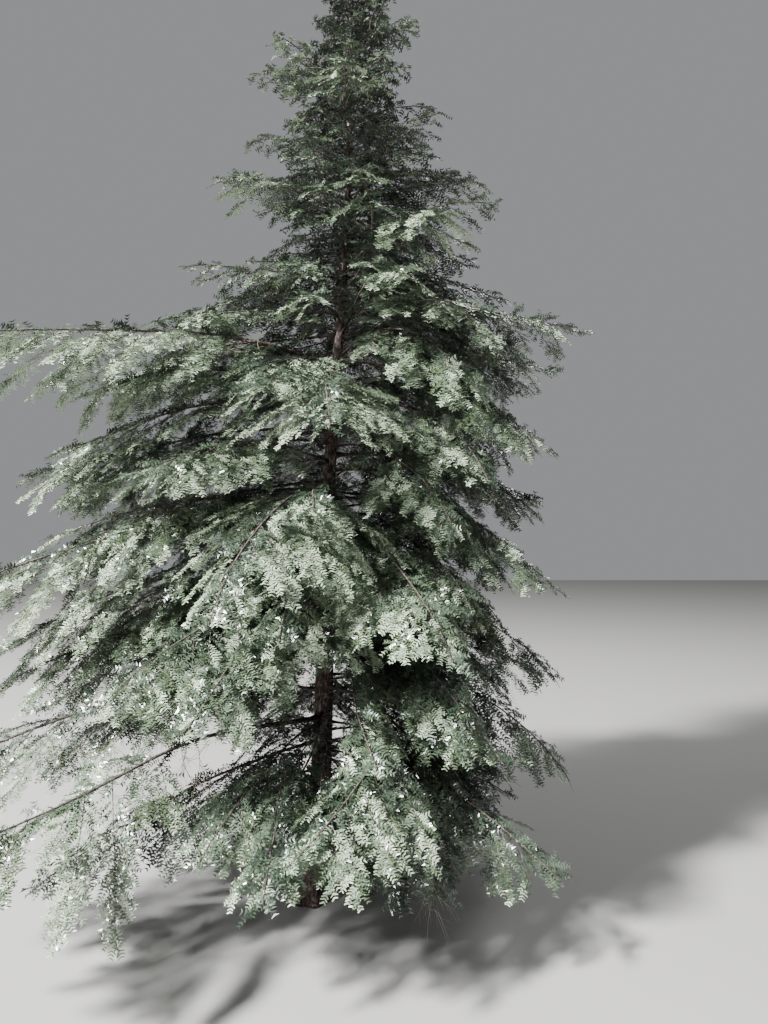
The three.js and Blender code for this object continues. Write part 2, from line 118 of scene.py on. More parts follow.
def bark_height(x, y, z):
    """How high the bark stands at a place on the trunk: 0 in a crack, about 1 on a scale."""
    place = Vector((x / SCALE_WIDTH, y / SCALE_WIDTH, z / SCALE_HEIGHT))
    place += SCALE_WARP * noise.noise_vector(SCALE_WARP_RATE * place)
    (near, next_near, _, _), (centre, *_) = noise.voronoi(place)
    edge = min(1, (next_near - near) / CRACK_SHARE)
    curl = SCALE_CURL * (centre.z - place.z)
    grain = Vector((GRAIN_ACROSS * place.x, GRAIN_ACROSS * place.y, GRAIN_UP * place.z))
    return edge * (SCALE_LEVEL + curl) + GRAIN_HEIGHT * noise.noise(grain)


def bark_mesh(name):
    """The trunk's surface as rings of corners, with the height of its bark kept for the colours."""
    heights = TRUNK_HEIGHT * np.linspace(0, 1, BARK_ROWS) ** ROW_CROWDING
    angles = np.linspace(0, 2 * math.pi, BARK_COLUMNS, endpoint=False)
    lobes = 1 - FLARE_LOBE_DEPTH * (0.5 - 0.5 * np.cos(FLARE_LOBES * angles))
    corners, bark = [], []
    for z in heights:
        radius = trunk_radius(z) * (1 + FLARE * lobes * math.exp(-z / FLARE_HEIGHT))
        relief = min(mix(*RELIEF, z / TRUNK_HEIGHT), RELIEF_MOST * float(trunk_radius(z)))
        centre = trunk_axis(z)
        for angle, reach in zip(angles, radius):
            x, y = reach * math.cos(angle), reach * math.sin(angle)
            height = bark_height(x, y, z)
            grown = 1 + relief * (height - RELIEF_LEVEL) / reach
            corners.append((centre[0] + grown * x, centre[1] + grown * y, z))
            bark.append(height)
    faces = []
    for row in range(BARK_ROWS - 1):
        for column in range(BARK_COLUMNS):
            after = (column + 1) % BARK_COLUMNS
            low, high = row * BARK_COLUMNS, (row + 1) * BARK_COLUMNS
            faces.append((low + column, low + after, high + after, high + column))
    faces.append(tuple(reversed(range(BARK_COLUMNS))))
    faces.append(tuple(range((BARK_ROWS - 1) * BARK_COLUMNS, BARK_ROWS * BARK_COLUMNS)))
    mesh = bpy.data.meshes.new(name)
    mesh.from_pydata(corners, [], faces)
    mesh.attributes.new("bark", "FLOAT", "POINT").data.foreach_set("value", bark)
    mesh.shade_smooth()
    return mesh


def srgb(code):
    """A colour written as six hex digits, as the linear one that a shader takes."""
    parts = [int(code[i : i + 2], 16) / 255 for i in (0, 2, 4)]
    return (*[c / 12.92 if c <= 0.04045 else ((c + 0.055) / 1.055) ** 2.4 for c in parts], 1)


def add_node(tree, kind, settings=None, inputs=None):
    """Adds a node to a tree, with its settings and the values or links that feed its inputs."""
    node = tree.nodes.new(kind)
    for name, value in (settings or {}).items():
        setattr(node, name, value)
    for name, value in (inputs or {}).items():
        if isinstance(value, bpy.types.NodeSocket):
            tree.links.new(value, node.inputs[name])
        else:
            node.inputs[name].default_value = value
    return node


def add_object(name, data):
    thing = bpy.data.objects.new(name, data)
    bpy.context.scene.collection.objects.link(thing)
    return thing


def colour_ramp(tree, factor, stops):
    ramp = add_node(tree, "ShaderNodeValToRGB", inputs={"Fac": factor})
    elements = ramp.color_ramp.elements
    while len(elements) < len(stops):
        elements.new(0.5)
    for element, (place, code) in zip(elements, stops):
        element.position = place
        element.color = srgb(code)
    return ramp.outputs["Color"]


def new_material(name, roughness, **values):
    """A material with one shader, and the tree and shader to build its colour on."""
    material = bpy.data.materials.new(name)
    material.use_nodes = True
    shader = material.node_tree.nodes["Principled BSDF"]
    shader.inputs["Roughness"].default_value = roughness
    for socket, value in values.items():
        shader.inputs[socket.replace("_", " ")].default_value = value
    return material, material.node_tree, shader


def add_grain(tree, shader, where, scale, distance, strength):
    """Wood grain too fine for the mesh, as a bump in a shader's surface."""
    grain = add_node(tree, "ShaderNodeTexNoise", inputs={"Vector": where, "Scale": scale, "Detail": 3})
    bump = add_node(
        tree, "ShaderNodeBump",
        inputs={"Height": grain.outputs["Fac"], "Distance": distance, "Strength": strength},
    )
    tree.links.new(bump.outputs["Normal"], shader.inputs["Normal"])


# Young hemlock bark, scaly and unpolished: dull purplish brown, nearly black in its cracks as painted
# shade over its darker inner bark, with a grey bloom on the scales that face the weather.
trunk_bark, tree, shader = new_material("trunk_bark", roughness=0.88)
height = add_node(tree, "ShaderNodeAttribute", {"attribute_name": "bark"}).outputs["Fac"]
where = add_node(tree, "ShaderNodeTexCoord").outputs["Object"]
bloom = add_node(tree, "ShaderNodeTexNoise", inputs={"Vector": where, "Scale": 24, "Detail": 5})
# Both ramps darken towards the cracks: the darker inner bark, with painted shade over it.
brown = colour_ramp(tree, height, [(0.05, "140f0d"), (0.35, "332622"), (0.95, "5b463e")])
grey = colour_ramp(tree, height, [(0.05, "1d1815"), (0.4, "4d4540"), (0.95, "8d857d")])
patches = add_node(
    tree, "ShaderNodeMapRange",
    inputs={"Value": bloom.outputs["Fac"], "From Min": 0.5, "From Max": 0.66},
)
colour = add_node(
    tree, "ShaderNodeMix", {"data_type": "RGBA"},
    {"Factor": patches.outputs["Result"], "A": brown, "B": grey},
)
tree.links.new(colour.outputs[2], shader.inputs["Base Color"])
add_grain(tree, shader, where, scale=900, distance=0.0006, strength=0.5)

noise.seed_set(WARP_SEED)
trunk = add_object("trunk_with_bark", bark_mesh("trunk_with_bark"))
trunk.data.materials.append(trunk_bark)
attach(trunk, "root")
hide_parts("trunk")

# Limbs
# The boughs and the lesser limbs, living wood under thin grey-brown bark. Each leaves the trunk
# with a collar, runs out nearly level and droops, and carries its foliage on its outer part.
LIMB_STEPS = 16
# Slow waves that bend a limb to its sides and up and down: by how many degrees, and how many waves.
LIMB_WANDER = 7
LIMB_WANDER_WAVES = 1.3
LIMB_LIFT = 3.5
LIMB_LIFT_WAVES = 1.6
# A limb's radius at the trunk grows with the square of its length.
LIMB_ROOT_RADIUS = 0.003
LIMB_ROOT_GROWTH = 0.0032
LIMB_TIP_RADIUS = 0.0016
LIMB_TAPER = 0.8
# The share of a limb without foliage, on the main boughs and forked limbs and on the others.
BARE = 0.3
BARE_SHORT = 0.17
# How steeply limbs leave the trunk and end, in degrees, from the crown's foot to its top.
CROWN_FOOT = 0.6
RISES = (4, 48)
RISE_SHAPE = 1.3
FALLS = (-34, -16)
# The limbs of the back, and then the forked ones that wind up round the upper trunk.
BACK_COUNT = 9
BACK_FOOT = 0.64
BACK_STEP = 0.215
BACK_FROM = 35
BACK_SPREAD = 105
BACK_LENGTH = 1.165
TOP_COUNT = 15
TOP_FOOT = 2.64
TOP_STEP = 0.124
TOP_BEARING = 165
TOP_LENGTH = 0.92
TOP_SHAPE = 1.15
LENGTH_CHANGE = 0.1
GOLDEN_ANGLE = 137.5
GOLDEN_SHARE = 0.618
# Thin limbs that hang among the right boughs.
RIGHT_COUNT = 22
RIGHT_HEIGHTS = (0.62, 2.85)
RIGHT_FROM = 308
RIGHT_SPREAD = 60
RIGHT_LENGTH = 0.92
RIGHT_RISE = 6
RIGHT_FALL = -58
RIGHT_BROAD = 1.2
# Thin limbs all round, shorter than those of the solids near them: how many between two heights.
SHOOT_ZONES = [(0.5, 2.45, 46), (2.45, 4.5, 150)]
SHOOT_BEARING = 20
SHOOT_BARE = 0.08
SHOOT_REACH = (0.55, 0.98)
SHOOT_TURN = 20
# How near in height and in bearing another limb counts for a shoot's length.
NEAR_HEIGHT = 0.3
NEAR_BEARING = 40
# What is chosen by chance on a limb; further pairs and side branches count on from theirs.
WANDER_CHOICE = 1
LIFT_CHOICE = 2
PAIR_CHOICE = 5
SPRAY_CHOICE = 20
BACK_CHOICE = 90
TOP_CHOICE = 91
SHOOT_LENGTH_CHOICE = 92
SHOOT_RISE_CHOICE = 93
UP = np.array([0.0, 0.0, 1.0])


@dataclass
class Limb:
    """A limb as the source has it: where it leaves the trunk, its length, how it sets off, ends and
    turns on its way, how broad its foliage is beside the usual and what share of it is bare, and
    the limb it forks off and where. In metres and degrees."""

    name: str
    height: float
    bearing: float
    length: float
    rise: float
    fall: float
    turn: float = 0
    broad: float = 1
    bare: float = BARE_SHORT
    parent: int = -1
    start: float = 0


MAIN_BOUGHS = [
    Limb("left_high", 2.36, 212, 1.65, 8, -18),
    Limb("left_upper", 2.07, 172, 1.4, -6, -14, 8),
    Limb("left_back", 1.95, 148, 1.45, 2, -22, 8),
    Limb("left_middle", 1.64, 196, 1.72, 4, -26, 4),
    Limb("left_low", 1.09, 203, 1.75, -6, -20, 6),
    Limb("left_front", 0.79, 228, 1.62, 4, -18, bare=0.5),
    Limb("front_low", 0.93, 322, 1.3, 2, -34, -112, 1.2),
    Limb("right_high", 2.39, 336, 1.08, -6, -46),
    Limb("right_upper", 2.59, 2, 1.12, 10, -16),
    Limb("right_back", 1.95, 14, 1.12, 14, -44),
    Limb("right_low", 1.06, 346, 1.18, 6, -50, -10),
    Limb("right_ground", 0.65, 322, 1.18, 8, -36, 4),
]
OTHER_LIMBS = [
    Limb("front_high", 2.2, 272, 0.98, 12, -44, 0, 1.35),
    Limb("front_middle", 1.79, 254, 1.28, 4, -48, 4),
    Limb("front_right", 1.6, 300, 1.15, 6, -52, -6),
    Limb("front_left", 1.38, 236, 1.25, 4, -40),
    Limb("right_middle", 1.76, 340, 1.12, 8, -50),
    Limb("right_waist", 1.36, 352, 1.12, 8, -50),
    Limb("right_front", 1.18, 312, 1.08, 6, -46),
    Limb("left_waist", 1.37, 180, 1.5, 2, -26, 6),
    Limb("front_foot", 0.76, 250, 1.0, 6, -34),
    Limb("front_ground", 0.64, 284, 0.9, 6, -32),
]
FORKS = [(0.18, 0.76, 42, 22), (0.32, 0.6, -38, 12)]  # where, how long, and the turn and rise away
LEADER = Limb("leader", TRUNK_HEIGHT, 10, 0.21, 84, 40)
# Thin limbs that hang before the trunk.
FRONT_SHOOTS = [
    Limb("umbrella", 2.37, 290, 0.6, 16, -34, 0, 1.3),
    Limb("umbrella_left", 2.3, 246, 0.75, 14, -40, 0, 1.2),
    Limb("fan_middle", 1.74, 270, 0.95, 8, -48, 0, 1.25),
    Limb("fan_right", 1.66, 290, 0.85, 2, -52, 0, 1.2),
    Limb("fan_left", 1.56, 262, 0.9, 4, -50, 0, 1.2),
    Limb("fan_foot", 1.4, 274, 0.8, 2, -44, 0, 1.25),
    Limb("low_fan_left", 0.81, 262, 0.85, 2, -26, 0, 1.1, 0.25),
    Limb("low_fan_middle", 0.72, 274, 0.75, 6, -26, 0, 1.1, 0.25),
    Limb("low_fan_right", 0.7, 300, 0.8, 6, -30, 0, 1.1, 0.22),
]
# Thin limbs between the left boughs.
GAP_SHOOTS = [
    Limb("left_gap_top", 2.5, 190, 1.15, -2, -30, 0, 1.15),
    Limb("left_gap_high", 2.2, 190, 1.25, 2, -28, 0, 1.1),
    Limb("left_gap_upper", 2.08, 184, 1.4, -2, -20, 0, 1.1),
    Limb("left_gap_back", 1.8, 166, 1.45, 2, -18, 0, 1.1),
    Limb("left_gap_middle", 1.84, 206, 1.2, -2, -30, 0, 1.1),
    Limb("left_gap_waist", 1.5, 200, 1.3, 2, -30, 0, 1.1),
    Limb("left_gap_deep", 1.3, 166, 1.35, 2, -26, 0, 1.1),
    Limb("left_gap_low", 1.24, 210, 1.2, 0, -28, 0, 1.1),
]


def chance(limb, choice):
    """A number from 0 to 1 for one choice made on one limb, always the same: a common sine hash."""
    value = math.sin(limb * 127.1 + choice * 311.7) * 43758.5453
    return value - math.floor(value)


def wave(turns, limb, choice):
    """A wave from -1 to 1 that begins at a place chosen for the limb."""
    return math.sin(2 * math.pi * (turns + chance(limb, choice)))


def limb_at(name, height, bearing, length, pick=0.5):
    share = min(1, max(0, (height - CROWN_FOOT) / (CROWN_TOP - CROWN_FOOT)))
    length = length * mix(1 - LENGTH_CHANGE, 1 + LENGTH_CHANGE, pick)
    slopes = mix(*RISES, share**RISE_SHAPE), mix(*FALLS, share)
    return Limb(name, height, bearing, length, *slopes)


def all_limbs():
    """Every limb and further stem, in the order that counts them for their chances."""
    limbs = [*MAIN_BOUGHS, *OTHER_LIMBS]
    for bough in MAIN_BOUGHS:
        bough.bare = max(bough.bare, BARE)
    for i in range(BACK_COUNT):
        bearing = BACK_FROM + BACK_SPREAD * ((i * GOLDEN_SHARE) % 1)
        height = BACK_FOOT + BACK_STEP * i
        pick = chance(i, BACK_CHOICE)
        limbs.append(limb_at(f"back_{i + 1}", height, bearing, BACK_LENGTH, pick))
    for i in range(TOP_COUNT):
        height = TOP_FOOT + TOP_STEP * i
        bearing = TOP_BEARING + GOLDEN_ANGLE * i
        length = TOP_LENGTH * ((CROWN_TOP - height) / (CROWN_TOP - TOP_FOOT)) ** TOP_SHAPE
        limb = limb_at(f"top_{i + 1}", height, bearing, length, chance(i, TOP_CHOICE))
        limb.bare = BARE
        parent = len(limbs)
        limbs.append(limb)
        for start, share, turn, rise in FORKS:
            heading = limb.bearing + (turn if i % 2 else -turn)
            slopes = limb.rise + rise, limb.fall + rise / 2
            stem = Limb(limb.name, height, heading, share * limb.length, *slopes)
            limbs.append(replace(stem, parent=parent, start=start))
    limbs.append(LEADER)
    return limbs


def place_on(path, share):
    """A point on a limb, the way it runs there and the level direction across it, to its left."""
    at = min(1, max(0, share)) * LIMB_STEPS
    k = min(LIMB_STEPS - 1, int(at))
    along = unit(path[min(LIMB_STEPS, k + 2)] - path[max(0, k - 1)])
    return mix(path[k], path[k + 1], at - k), along, unit(np.cross(UP, along))


def limb_path(limb, seed, paths):
    """The points along a limb to its last needle, from the trunk's axis or the stem it forks off."""
    forked = limb.parent >= 0
    points = [place_on(paths[limb.parent], limb.start)[0] if forked else trunk_axis(limb.height)]
    for k in range(LIMB_STEPS):
        share = (k + 0.5) / LIMB_STEPS
        wander = LIMB_WANDER * wave(LIMB_WANDER_WAVES * share, seed, WANDER_CHOICE)
        lift = LIMB_LIFT * wave(LIMB_LIFT_WAVES * share, seed, LIFT_CHOICE)
        heading = math.radians(limb.bearing + limb.turn * share + wander)
        pitch = math.radians(mix(limb.rise, limb.fall, share) + lift)
        level = math.cos(pitch)
        along = np.array([level * math.cos(heading), level * math.sin(heading), math.sin(pitch)])
        points.append(points[k] + along * limb.length / LIMB_STEPS)
    return np.array(points)


def limb_radius(limb, share):
    root = LIMB_ROOT_RADIUS + LIMB_ROOT_GROWTH * limb.length**2
    return mix(root, LIMB_TIP_RADIUS, np.asarray(share) ** LIMB_TAPER)


limbs = all_limbs()
paths = []
for seed, limb in enumerate(limbs):
    paths.append(limb_path(limb, seed, paths))
source_count = len(limbs)


def length_near(height, bearing):
    """How long the source's limbs are about a place on the trunk."""
    total = weights = 0
    for limb in limbs[:source_count]:
        away = (limb.bearing - bearing + 180) % 360 - 180
        weight = math.exp(-(((limb.height - height) / NEAR_HEIGHT) ** 2) - (away / NEAR_BEARING) ** 2)
        total += weight * limb.length
        weights += weight
    return total / weights


shoots = [*FRONT_SHOOTS, *GAP_SHOOTS]
for i in range(RIGHT_COUNT):
    height = mix(*RIGHT_HEIGHTS, (i + 0.5) / RIGHT_COUNT)
    bearing = RIGHT_FROM + RIGHT_SPREAD * ((i * GOLDEN_SHARE) % 1)
    shoot = Limb(f"right_shoot_{i + 1}", height, bearing, RIGHT_LENGTH, RIGHT_RISE, RIGHT_FALL)
    shoot.broad = RIGHT_BROAD
    shoots.append(shoot)
for foot, top, count in SHOOT_ZONES:
    for i in range(count):
        height = mix(foot, top, (i + 0.5) / count)
        bearing = SHOOT_BEARING + GOLDEN_ANGLE * i
        length = mix(*SHOOT_REACH, chance(i, SHOOT_LENGTH_CHOICE)) * length_near(height, bearing)
        shoot = limb_at(f"shoot_{len(shoots)}", height, bearing, length)
        shoot.rise += mix(-SHOOT_TURN, SHOOT_TURN, chance(i, SHOOT_RISE_CHOICE))
        shoot.bare = SHOOT_BARE
        shoots.append(shoot)
for shoot in shoots:
    paths.append(limb_path(shoot, len(limbs), paths))
    limbs.append(shoot)


class Lines:
    """Lines for wood and needles to grow along: their points, and at each point the wood's radius,
    the way the needles face and how long they are beside full ones."""

    def __init__(self):
        self.points, self.radius, self.face, self.needle, self.lasts = [], [], [], [], []
        self.count = 0

    def add(self, points, radius, face=UP, needle=0.0):
        """Adds one line, or several that have equally many points."""
        points = points.reshape(-1, *points.shape[-2:])
        number, steps, _ = points.shape
        self.points.append(points.reshape(-1, 3))
        self.radius.append(np.broadcast_to(radius, (number, steps)).ravel())
        self.face.append(np.broadcast_to(face, points.shape).reshape(-1, 3))
        self.needle.append(np.broadcast_to(needle, (number, steps)).ravel())
        self.lasts.append(self.count + steps * np.arange(1, number + 1) - 1)
        self.count += number * steps

    def mesh(self, name):
        """A mesh of bare edges, one run of them for each line."""
        starts = np.setdiff1d(np.arange(self.count), np.concatenate(self.lasts))
        edges = np.stack([starts, starts + 1], axis=1)
        mesh = bpy.data.meshes.new(name)
        mesh.vertices.add(self.count)
        mesh.vertices.foreach_set("co", np.concatenate(self.points).astype(np.float32).ravel())
        mesh.edges.add(len(edges))
        mesh.edges.foreach_set("vertices", edges.astype(np.int32).ravel())
        for label, kind, field, values in (
            ("radius", "FLOAT", "value", self.radius),
            ("needle", "FLOAT", "value", self.needle),
            ("face", "FLOAT_VECTOR", "vector", self.face),
        ):
            values = np.concatenate(values).astype(np.float32).ravel()
            mesh.attributes.new(label, kind, "POINT").data.foreach_set(field, values)
        return mesh


def tree_with_inputs(name, inputs):
    """An empty geometry node tree with named inputs, and its input and output nodes."""
    tree = bpy.data.node_groups.new(name, "GeometryNodeTree")
    tree.interface.new_socket("Geometry", in_out="INPUT", socket_type="NodeSocketGeometry")
    for label, kind in inputs.items():
        tree.interface.new_socket(label, in_out="INPUT", socket_type=kind)
    tree.interface.new_socket("Geometry", in_out="OUTPUT", socket_type="NodeSocketGeometry")
    return tree, tree.nodes.new("NodeGroupInput").outputs, tree.nodes.new("NodeGroupOutput")


def grow(name, lines, tree, values):
    """A plain mesh piece: what a node tree makes of lines, with its named inputs set."""
    mesh = lines.mesh(name)
    source = add_object(name + "_lines", mesh)
    modifier = source.modifiers.new("grow", "NODES")
    modifier.node_group = tree
    for socket in tree.interface.items_tree:
        if socket.in_out == "INPUT" and socket.name in values:
            modifier[socket.identifier] = values[socket.name]
    grown = source.evaluated_get(bpy.context.evaluated_depsgraph_get())
    piece = add_object(name, bpy.data.meshes.new_from_object(grown))
    bpy.data.objects.remove(source)
    bpy.data.meshes.remove(mesh)
    return piece


def maths(tree, operation, *values):
    inputs = dict(enumerate(values))
    return add_node(tree, "ShaderNodeMath", {"operation": operation}, inputs).outputs["Value"]


def vector_maths(tree, operation, *values, **scale):
    inputs = {**dict(enumerate(values)), **scale}
    return add_node(tree, "ShaderNodeVectorMath", {"operation": operation}, inputs).outputs["Vector"]


def geometry_node(tree, kind, settings=None, **inputs):
    """The first output of a new geometry node; its inputs' names have underscores for spaces."""
    inputs = {name.replace("_", " "): value for name, value in inputs.items()}
    return add_node(tree, "GeometryNode" + kind, settings, inputs).outputs[0]


def end_tree(tree, geometry, material, out):
    """Ends a node tree with a plain mesh in its material."""
    real = geometry_node(tree, "RealizeInstances", Geometry=geometry)
    done = geometry_node(tree, "SetMaterial", Geometry=real, Material=material)
    tree.links.new(done, out.inputs["Geometry"])


def tube_tree():
    """Wood along each line: a tube of the line's radius, with ridges and knots in its surface."""
    tree, given, out = tree_with_inputs(
        "wood_along_lines",
        {
            "Sides": "NodeSocketInt",
            "Step": "NodeSocketFloat",
            "Caps": "NodeSocketBool",
            "Ridge Depth": "NodeSocketFloat",
            "Ridge Length": "NodeSocketFloat",
            "Bark": "NodeSocketMaterial",
        },
    )
    curve = geometry_node(tree, "MeshToCurve", Mesh=given["Geometry"])
    smooth = geometry_node(tree, "CurveSplineType", {"spline_type": "CATMULL_ROM"}, Curve=curve)
    even = geometry_node(tree, "ResampleCurve", {"mode": "LENGTH"}, Curve=smooth, Length=given["Step"])
    ring = geometry_node(
        tree, "CurvePrimitiveCircle", {"mode": "RADIUS"}, Resolution=given["Sides"], Radius=1.0
    )
    radius = geometry_node(tree, "InputNamedAttribute", {"data_type": "FLOAT"}, Name="radius")
    tube = geometry_node(
        tree, "CurveToMesh", Curve=even, Profile_Curve=ring, Scale=radius, Fill_Caps=given["Caps"]
    )
    place = geometry_node(tree, "InputPosition")
    place = vector_maths(tree, "DIVIDE", place, given["Ridge Length"])
    ridges = add_node(
        tree, "ShaderNodeTexNoise",
        inputs={"Vector": place, "Scale": 1.0, "Detail": 3.0, "Roughness": 0.65},
    )
    height = maths(tree, "SUBTRACT", ridges.outputs["Fac"], 0.5)
    height = maths(tree, "MULTIPLY", maths(tree, "MULTIPLY", height, given["Ridge Depth"]), radius)
    shift = vector_maths(tree, "SCALE", geometry_node(tree, "InputNormal"), Scale=height)
    rough = geometry_node(tree, "SetPosition", Geometry=tube, Offset=shift)
    end_tree(tree, geometry_node(tree, "SetShadeSmooth", Geometry=rough), given["Bark"], out)
    return tree


LIMB_POINTS = 42  # on each limb's line
POINT_CROWDING = 1.5  # of them towards the trunk
COLLAR = 0.8  # how much thicker a limb is where it leaves the trunk
COLLAR_LENGTH = 0.018
LIMB_SIDES = 10
LIMB_STEP = 0.011
LESSER_SIDES = 7
LESSER_STEP = 0.016
LIMB_RIDGE_DEPTH = 0.55
LIMB_RIDGE_LENGTH = 0.012


def add_limb(lines, limb, path):
    shares = np.linspace(0, 1, LIMB_POINTS) ** POINT_CROWDING
    points = np.array([place_on(path, share)[0] for share in shares])
    forked = limb.parent >= 0
    hidden = limb_radius(limbs[limb.parent], limb.start) if forked else trunk_radius(limb.height)
    beyond = np.maximum(0, shares * limb.length - hidden)
    radius = limb_radius(limb, shares) * (1 + COLLAR * np.exp(-beyond / COLLAR_LENGTH))
    lines.add(points, radius)


# Hemlock limb bark, thin and tight: dark grey-brown with paler ridges, and matt.
limb_bark, tree, shader = new_material("limb_bark", roughness=0.85)
where = add_node(tree, "ShaderNodeTexCoord").outputs["Object"]
mottle = add_node(tree, "ShaderNodeTexNoise", inputs={"Vector": where, "Scale": 70, "Detail": 5})
colour = colour_ramp(tree, mottle.outputs["Fac"], [(0.3, "1b1613"), (0.5, "352c27"), (0.74, "665d55")])
tree.links.new(colour, shader.inputs["Base Color"])
add_grain(tree, shader, where, scale=700, distance=0.0005, strength=0.6)

wood_tree = tube_tree()
wood_values = {
    "Sides": LIMB_SIDES,
    "Step": LIMB_STEP,
    "Caps": True,
    "Ridge Depth": LIMB_RIDGE_DEPTH,
    "Ridge Length": LIMB_RIDGE_LENGTH,
    "Bark": limb_bark,
}
bough_lines, limb_lines = Lines(), Lines()
for limb, path in zip(limbs, paths):
    add_limb(bough_lines if limb in MAIN_BOUGHS else limb_lines, limb, path)
boughs = grow("main_boughs", bough_lines, wood_tree, wood_values)
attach(boughs, "root")
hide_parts(*[f"bough_{limb.name}" for limb in MAIN_BOUGHS])
lesser_values = {**wood_values, "Sides": LESSER_SIDES, "Step": LESSER_STEP}
lesser_limbs = grow("lesser_limbs", limb_lines, wood_tree, lesser_values)
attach(lesser_limbs, "root")

# Side branches
# Flat side branches in two rows along the outer part of every limb, each hanging towards its tip.
# Those of the solids keep their places there, and shorter ones fill in above and below them.
PAIR_SPACING = 0.178
PAIRS_LEAST = 3
PAIRS_FORK = 2
PAIR_SHIFT = 0.1
# Lengths and widths as shares of the limb's and the branch's own length, angles to the limb.
SPRAY_LENGTH = 0.4
SPRAY_REACH = [(0, 0.7), (0.3, 1), (1, 0.48)]  # places along the limb, and lengths there
SPRAY_WIDTH = 0.24
SPRAY_CROWDING = 0.5
SPRAY_ANGLES = (60, 42)
SPRAY_ANGLE_CHANGE = 2.5
SPRAY_LENGTH_CHANGE = 0.13
SPRAY_SAGS = (0.46, 0.1)  # at the ground and at the crown's top
SPRAY_SAG_CHANGE = 0.3
SPRAY_DROOP = 0.16
SPRAY_EDGE_DROP = 0.08
TIP_SPRAY = 0.16
TIP_SPRAY_WIDTH = 0.3
TIP_SPRAY_DROOP = 0.04
CUT_BACK = [1, 0.85, 0.7, 0.57, 0.45]  # shares of its length that are tried until it is clear
BLADE_EDGE = [(0.3, 1), (0.4, 0.52), (0.62, 0.74)]  # places along and across it on its toothed edge
# How a limb's foliage hangs away from it, and the room that is kept beside it.
SHEET_SAG = 0.4
SHEET_WEIGHT = 2
SPACE_GAP = 0.024
GROUND_GAP = 0.014
TRUNK_GAP = 0.03
# The shorter branches in between, which set off from nearly level to steeply down.
FILL_LENGTH = 0.75
FILL_SHIFT = 0.2
FILL_SAG = (-0.1, 0.85)
FILL_ROLL = 24
FILL_CHECKED = np.linspace(0.3, 1, 5)
# The trunk shows at these heights between the fans, from where the photograph was taken.
TRUNK_SHOWS = [(0.56, 1.0), (1.8, 2.09), (2.4, 2.8)]
CAMERA_PLACE = np.array([0.315, -3.31, 1.55])
SHOWS_MARGIN = 0.02
SHOWS_ALONG = np.linspace(0, 1, 9)
SHOWS_ACROSS = np.linspace(-1, 1, 5)
SEED = 11


@dataclass
class Spray:
    """A side branch: its root and the way it sets off, its length, half its width, how far its tip
    hangs as a share of its length, and how it rolls about its own line."""

    limb: int
    base: np.ndarray
    forward: np.ndarray
    length: float
    width: float
    droop: float = SPRAY_DROOP
    roll: float = 0

    def frame(self):
        side = unit(np.cross(UP, self.forward))
        lift = np.cross(self.forward, side)
        turn = math.radians(self.roll)
        return (
            math.cos(turn) * side + math.sin(turn) * lift,
            math.cos(turn) * lift - math.sin(turn) * side,
        )

    def place(self, along, across=0.0):
        """Points at shares of its length and of half its width."""
        side, lift = self.frame()
        along, across = np.asarray(along)[..., None], np.asarray(across)[..., None]
        drop = self.droop * self.length * along**2 + SPRAY_EDGE_DROP * self.width * np.abs(across)
        return self.base + self.forward * along * self.length + side * across * self.width - lift * drop

    def rim(self):
        near = [(along, -across) for along, across in BLADE_EDGE]
        far = [(along, across) for along, across in reversed(BLADE_EDGE)]
        return self.place(*np.array([*near, (1, 0), *far]).T)


path_points = np.array(paths[:source_count])
step_starts = path_points[:, :-1]
step_runs = path_points[:, 1:] - step_starts


def sheet_distances(points):
    """How far each point lies from the drooping sheet of each limb's side branches."""
    off = points[:, None, None] - step_starts
    flat = step_runs[..., :2]
    share = np.clip((off[..., :2] * flat).sum(-1) / (flat**2).sum(-1), 0, 1)
    out = np.linalg.norm(off[..., :2] - share[..., None] * flat, axis=-1)
    above = off[..., 2] - share * step_runs[..., 2] + SHEET_SAG * out
    return np.hypot(out, SHEET_WEIGHT * above).min(axis=-1)


def clear_of_trunk(points):
    out = np.linalg.norm((points - trunk_axis(points[:, 2]))[:, :2], axis=-1)
    return (points[:, 2] > TRUNK_HEIGHT) | (out > trunk_radius(points[:, 2]) + TRUNK_GAP)


def in_own_space(own, rim):
    """Whether a rim keeps off the ground and the trunk, and a source limb's stays in its own space."""
    points = np.concatenate([rim, (rim[1:] + rim[:-1]) / 2])
    if points[:, 2].min() < GROUND_GAP or not clear_of_trunk(points).all():
        return False
    if own >= source_count:
        return True
    distances = sheet_distances(points)
    others = np.delete(distances, own, axis=1).min(axis=1)
    return bool((others > distances[:, own] + SPACE_GAP).all())


def rims_cross(first, second):
    """Whether two rims of one limb cross, seen from above."""

    def left_of(a, b, c):
        ahead, aside = b - a, c - a
        return ahead[..., 0] * aside[..., 1] > ahead[..., 1] * aside[..., 0]

    a, b = first[:-1, None], first[1:, None]
    c, d = second[None, :-1], second[None, 1:]
    return bool(((left_of(a, b, c) != left_of(a, b, d)) & (left_of(c, d, a) != left_of(c, d, b))).any())


def read_off(places, share):
    """The value at a share, between those that are given at some places."""
    return np.interp(share, *np.array(places).T)


def side_spray(own, share, at, hand, picks, sag, spacing, cut):
    """A side branch at a share of its limb, cut back to a share of its full length."""
    limb = limbs[own]
    point, along, across = place_on(paths[own], at)
    angle = math.radians(mix(*SPRAY_ANGLES, share) + SPRAY_ANGLE_CHANGE * picks[0])
    forward = unit(math.cos(angle) * along + hand * math.sin(angle) * across - UP * sag)
    longest = SPRAY_LENGTH * limb.length * limb.broad * cut
    length = longest * read_off(SPRAY_REACH, share) * (1 + SPRAY_LENGTH_CHANGE * picks[1])
    width = min(SPRAY_WIDTH * length, SPRAY_CROWDING * spacing * math.sin(angle))
    return Spray(own, point, forward, length, width)


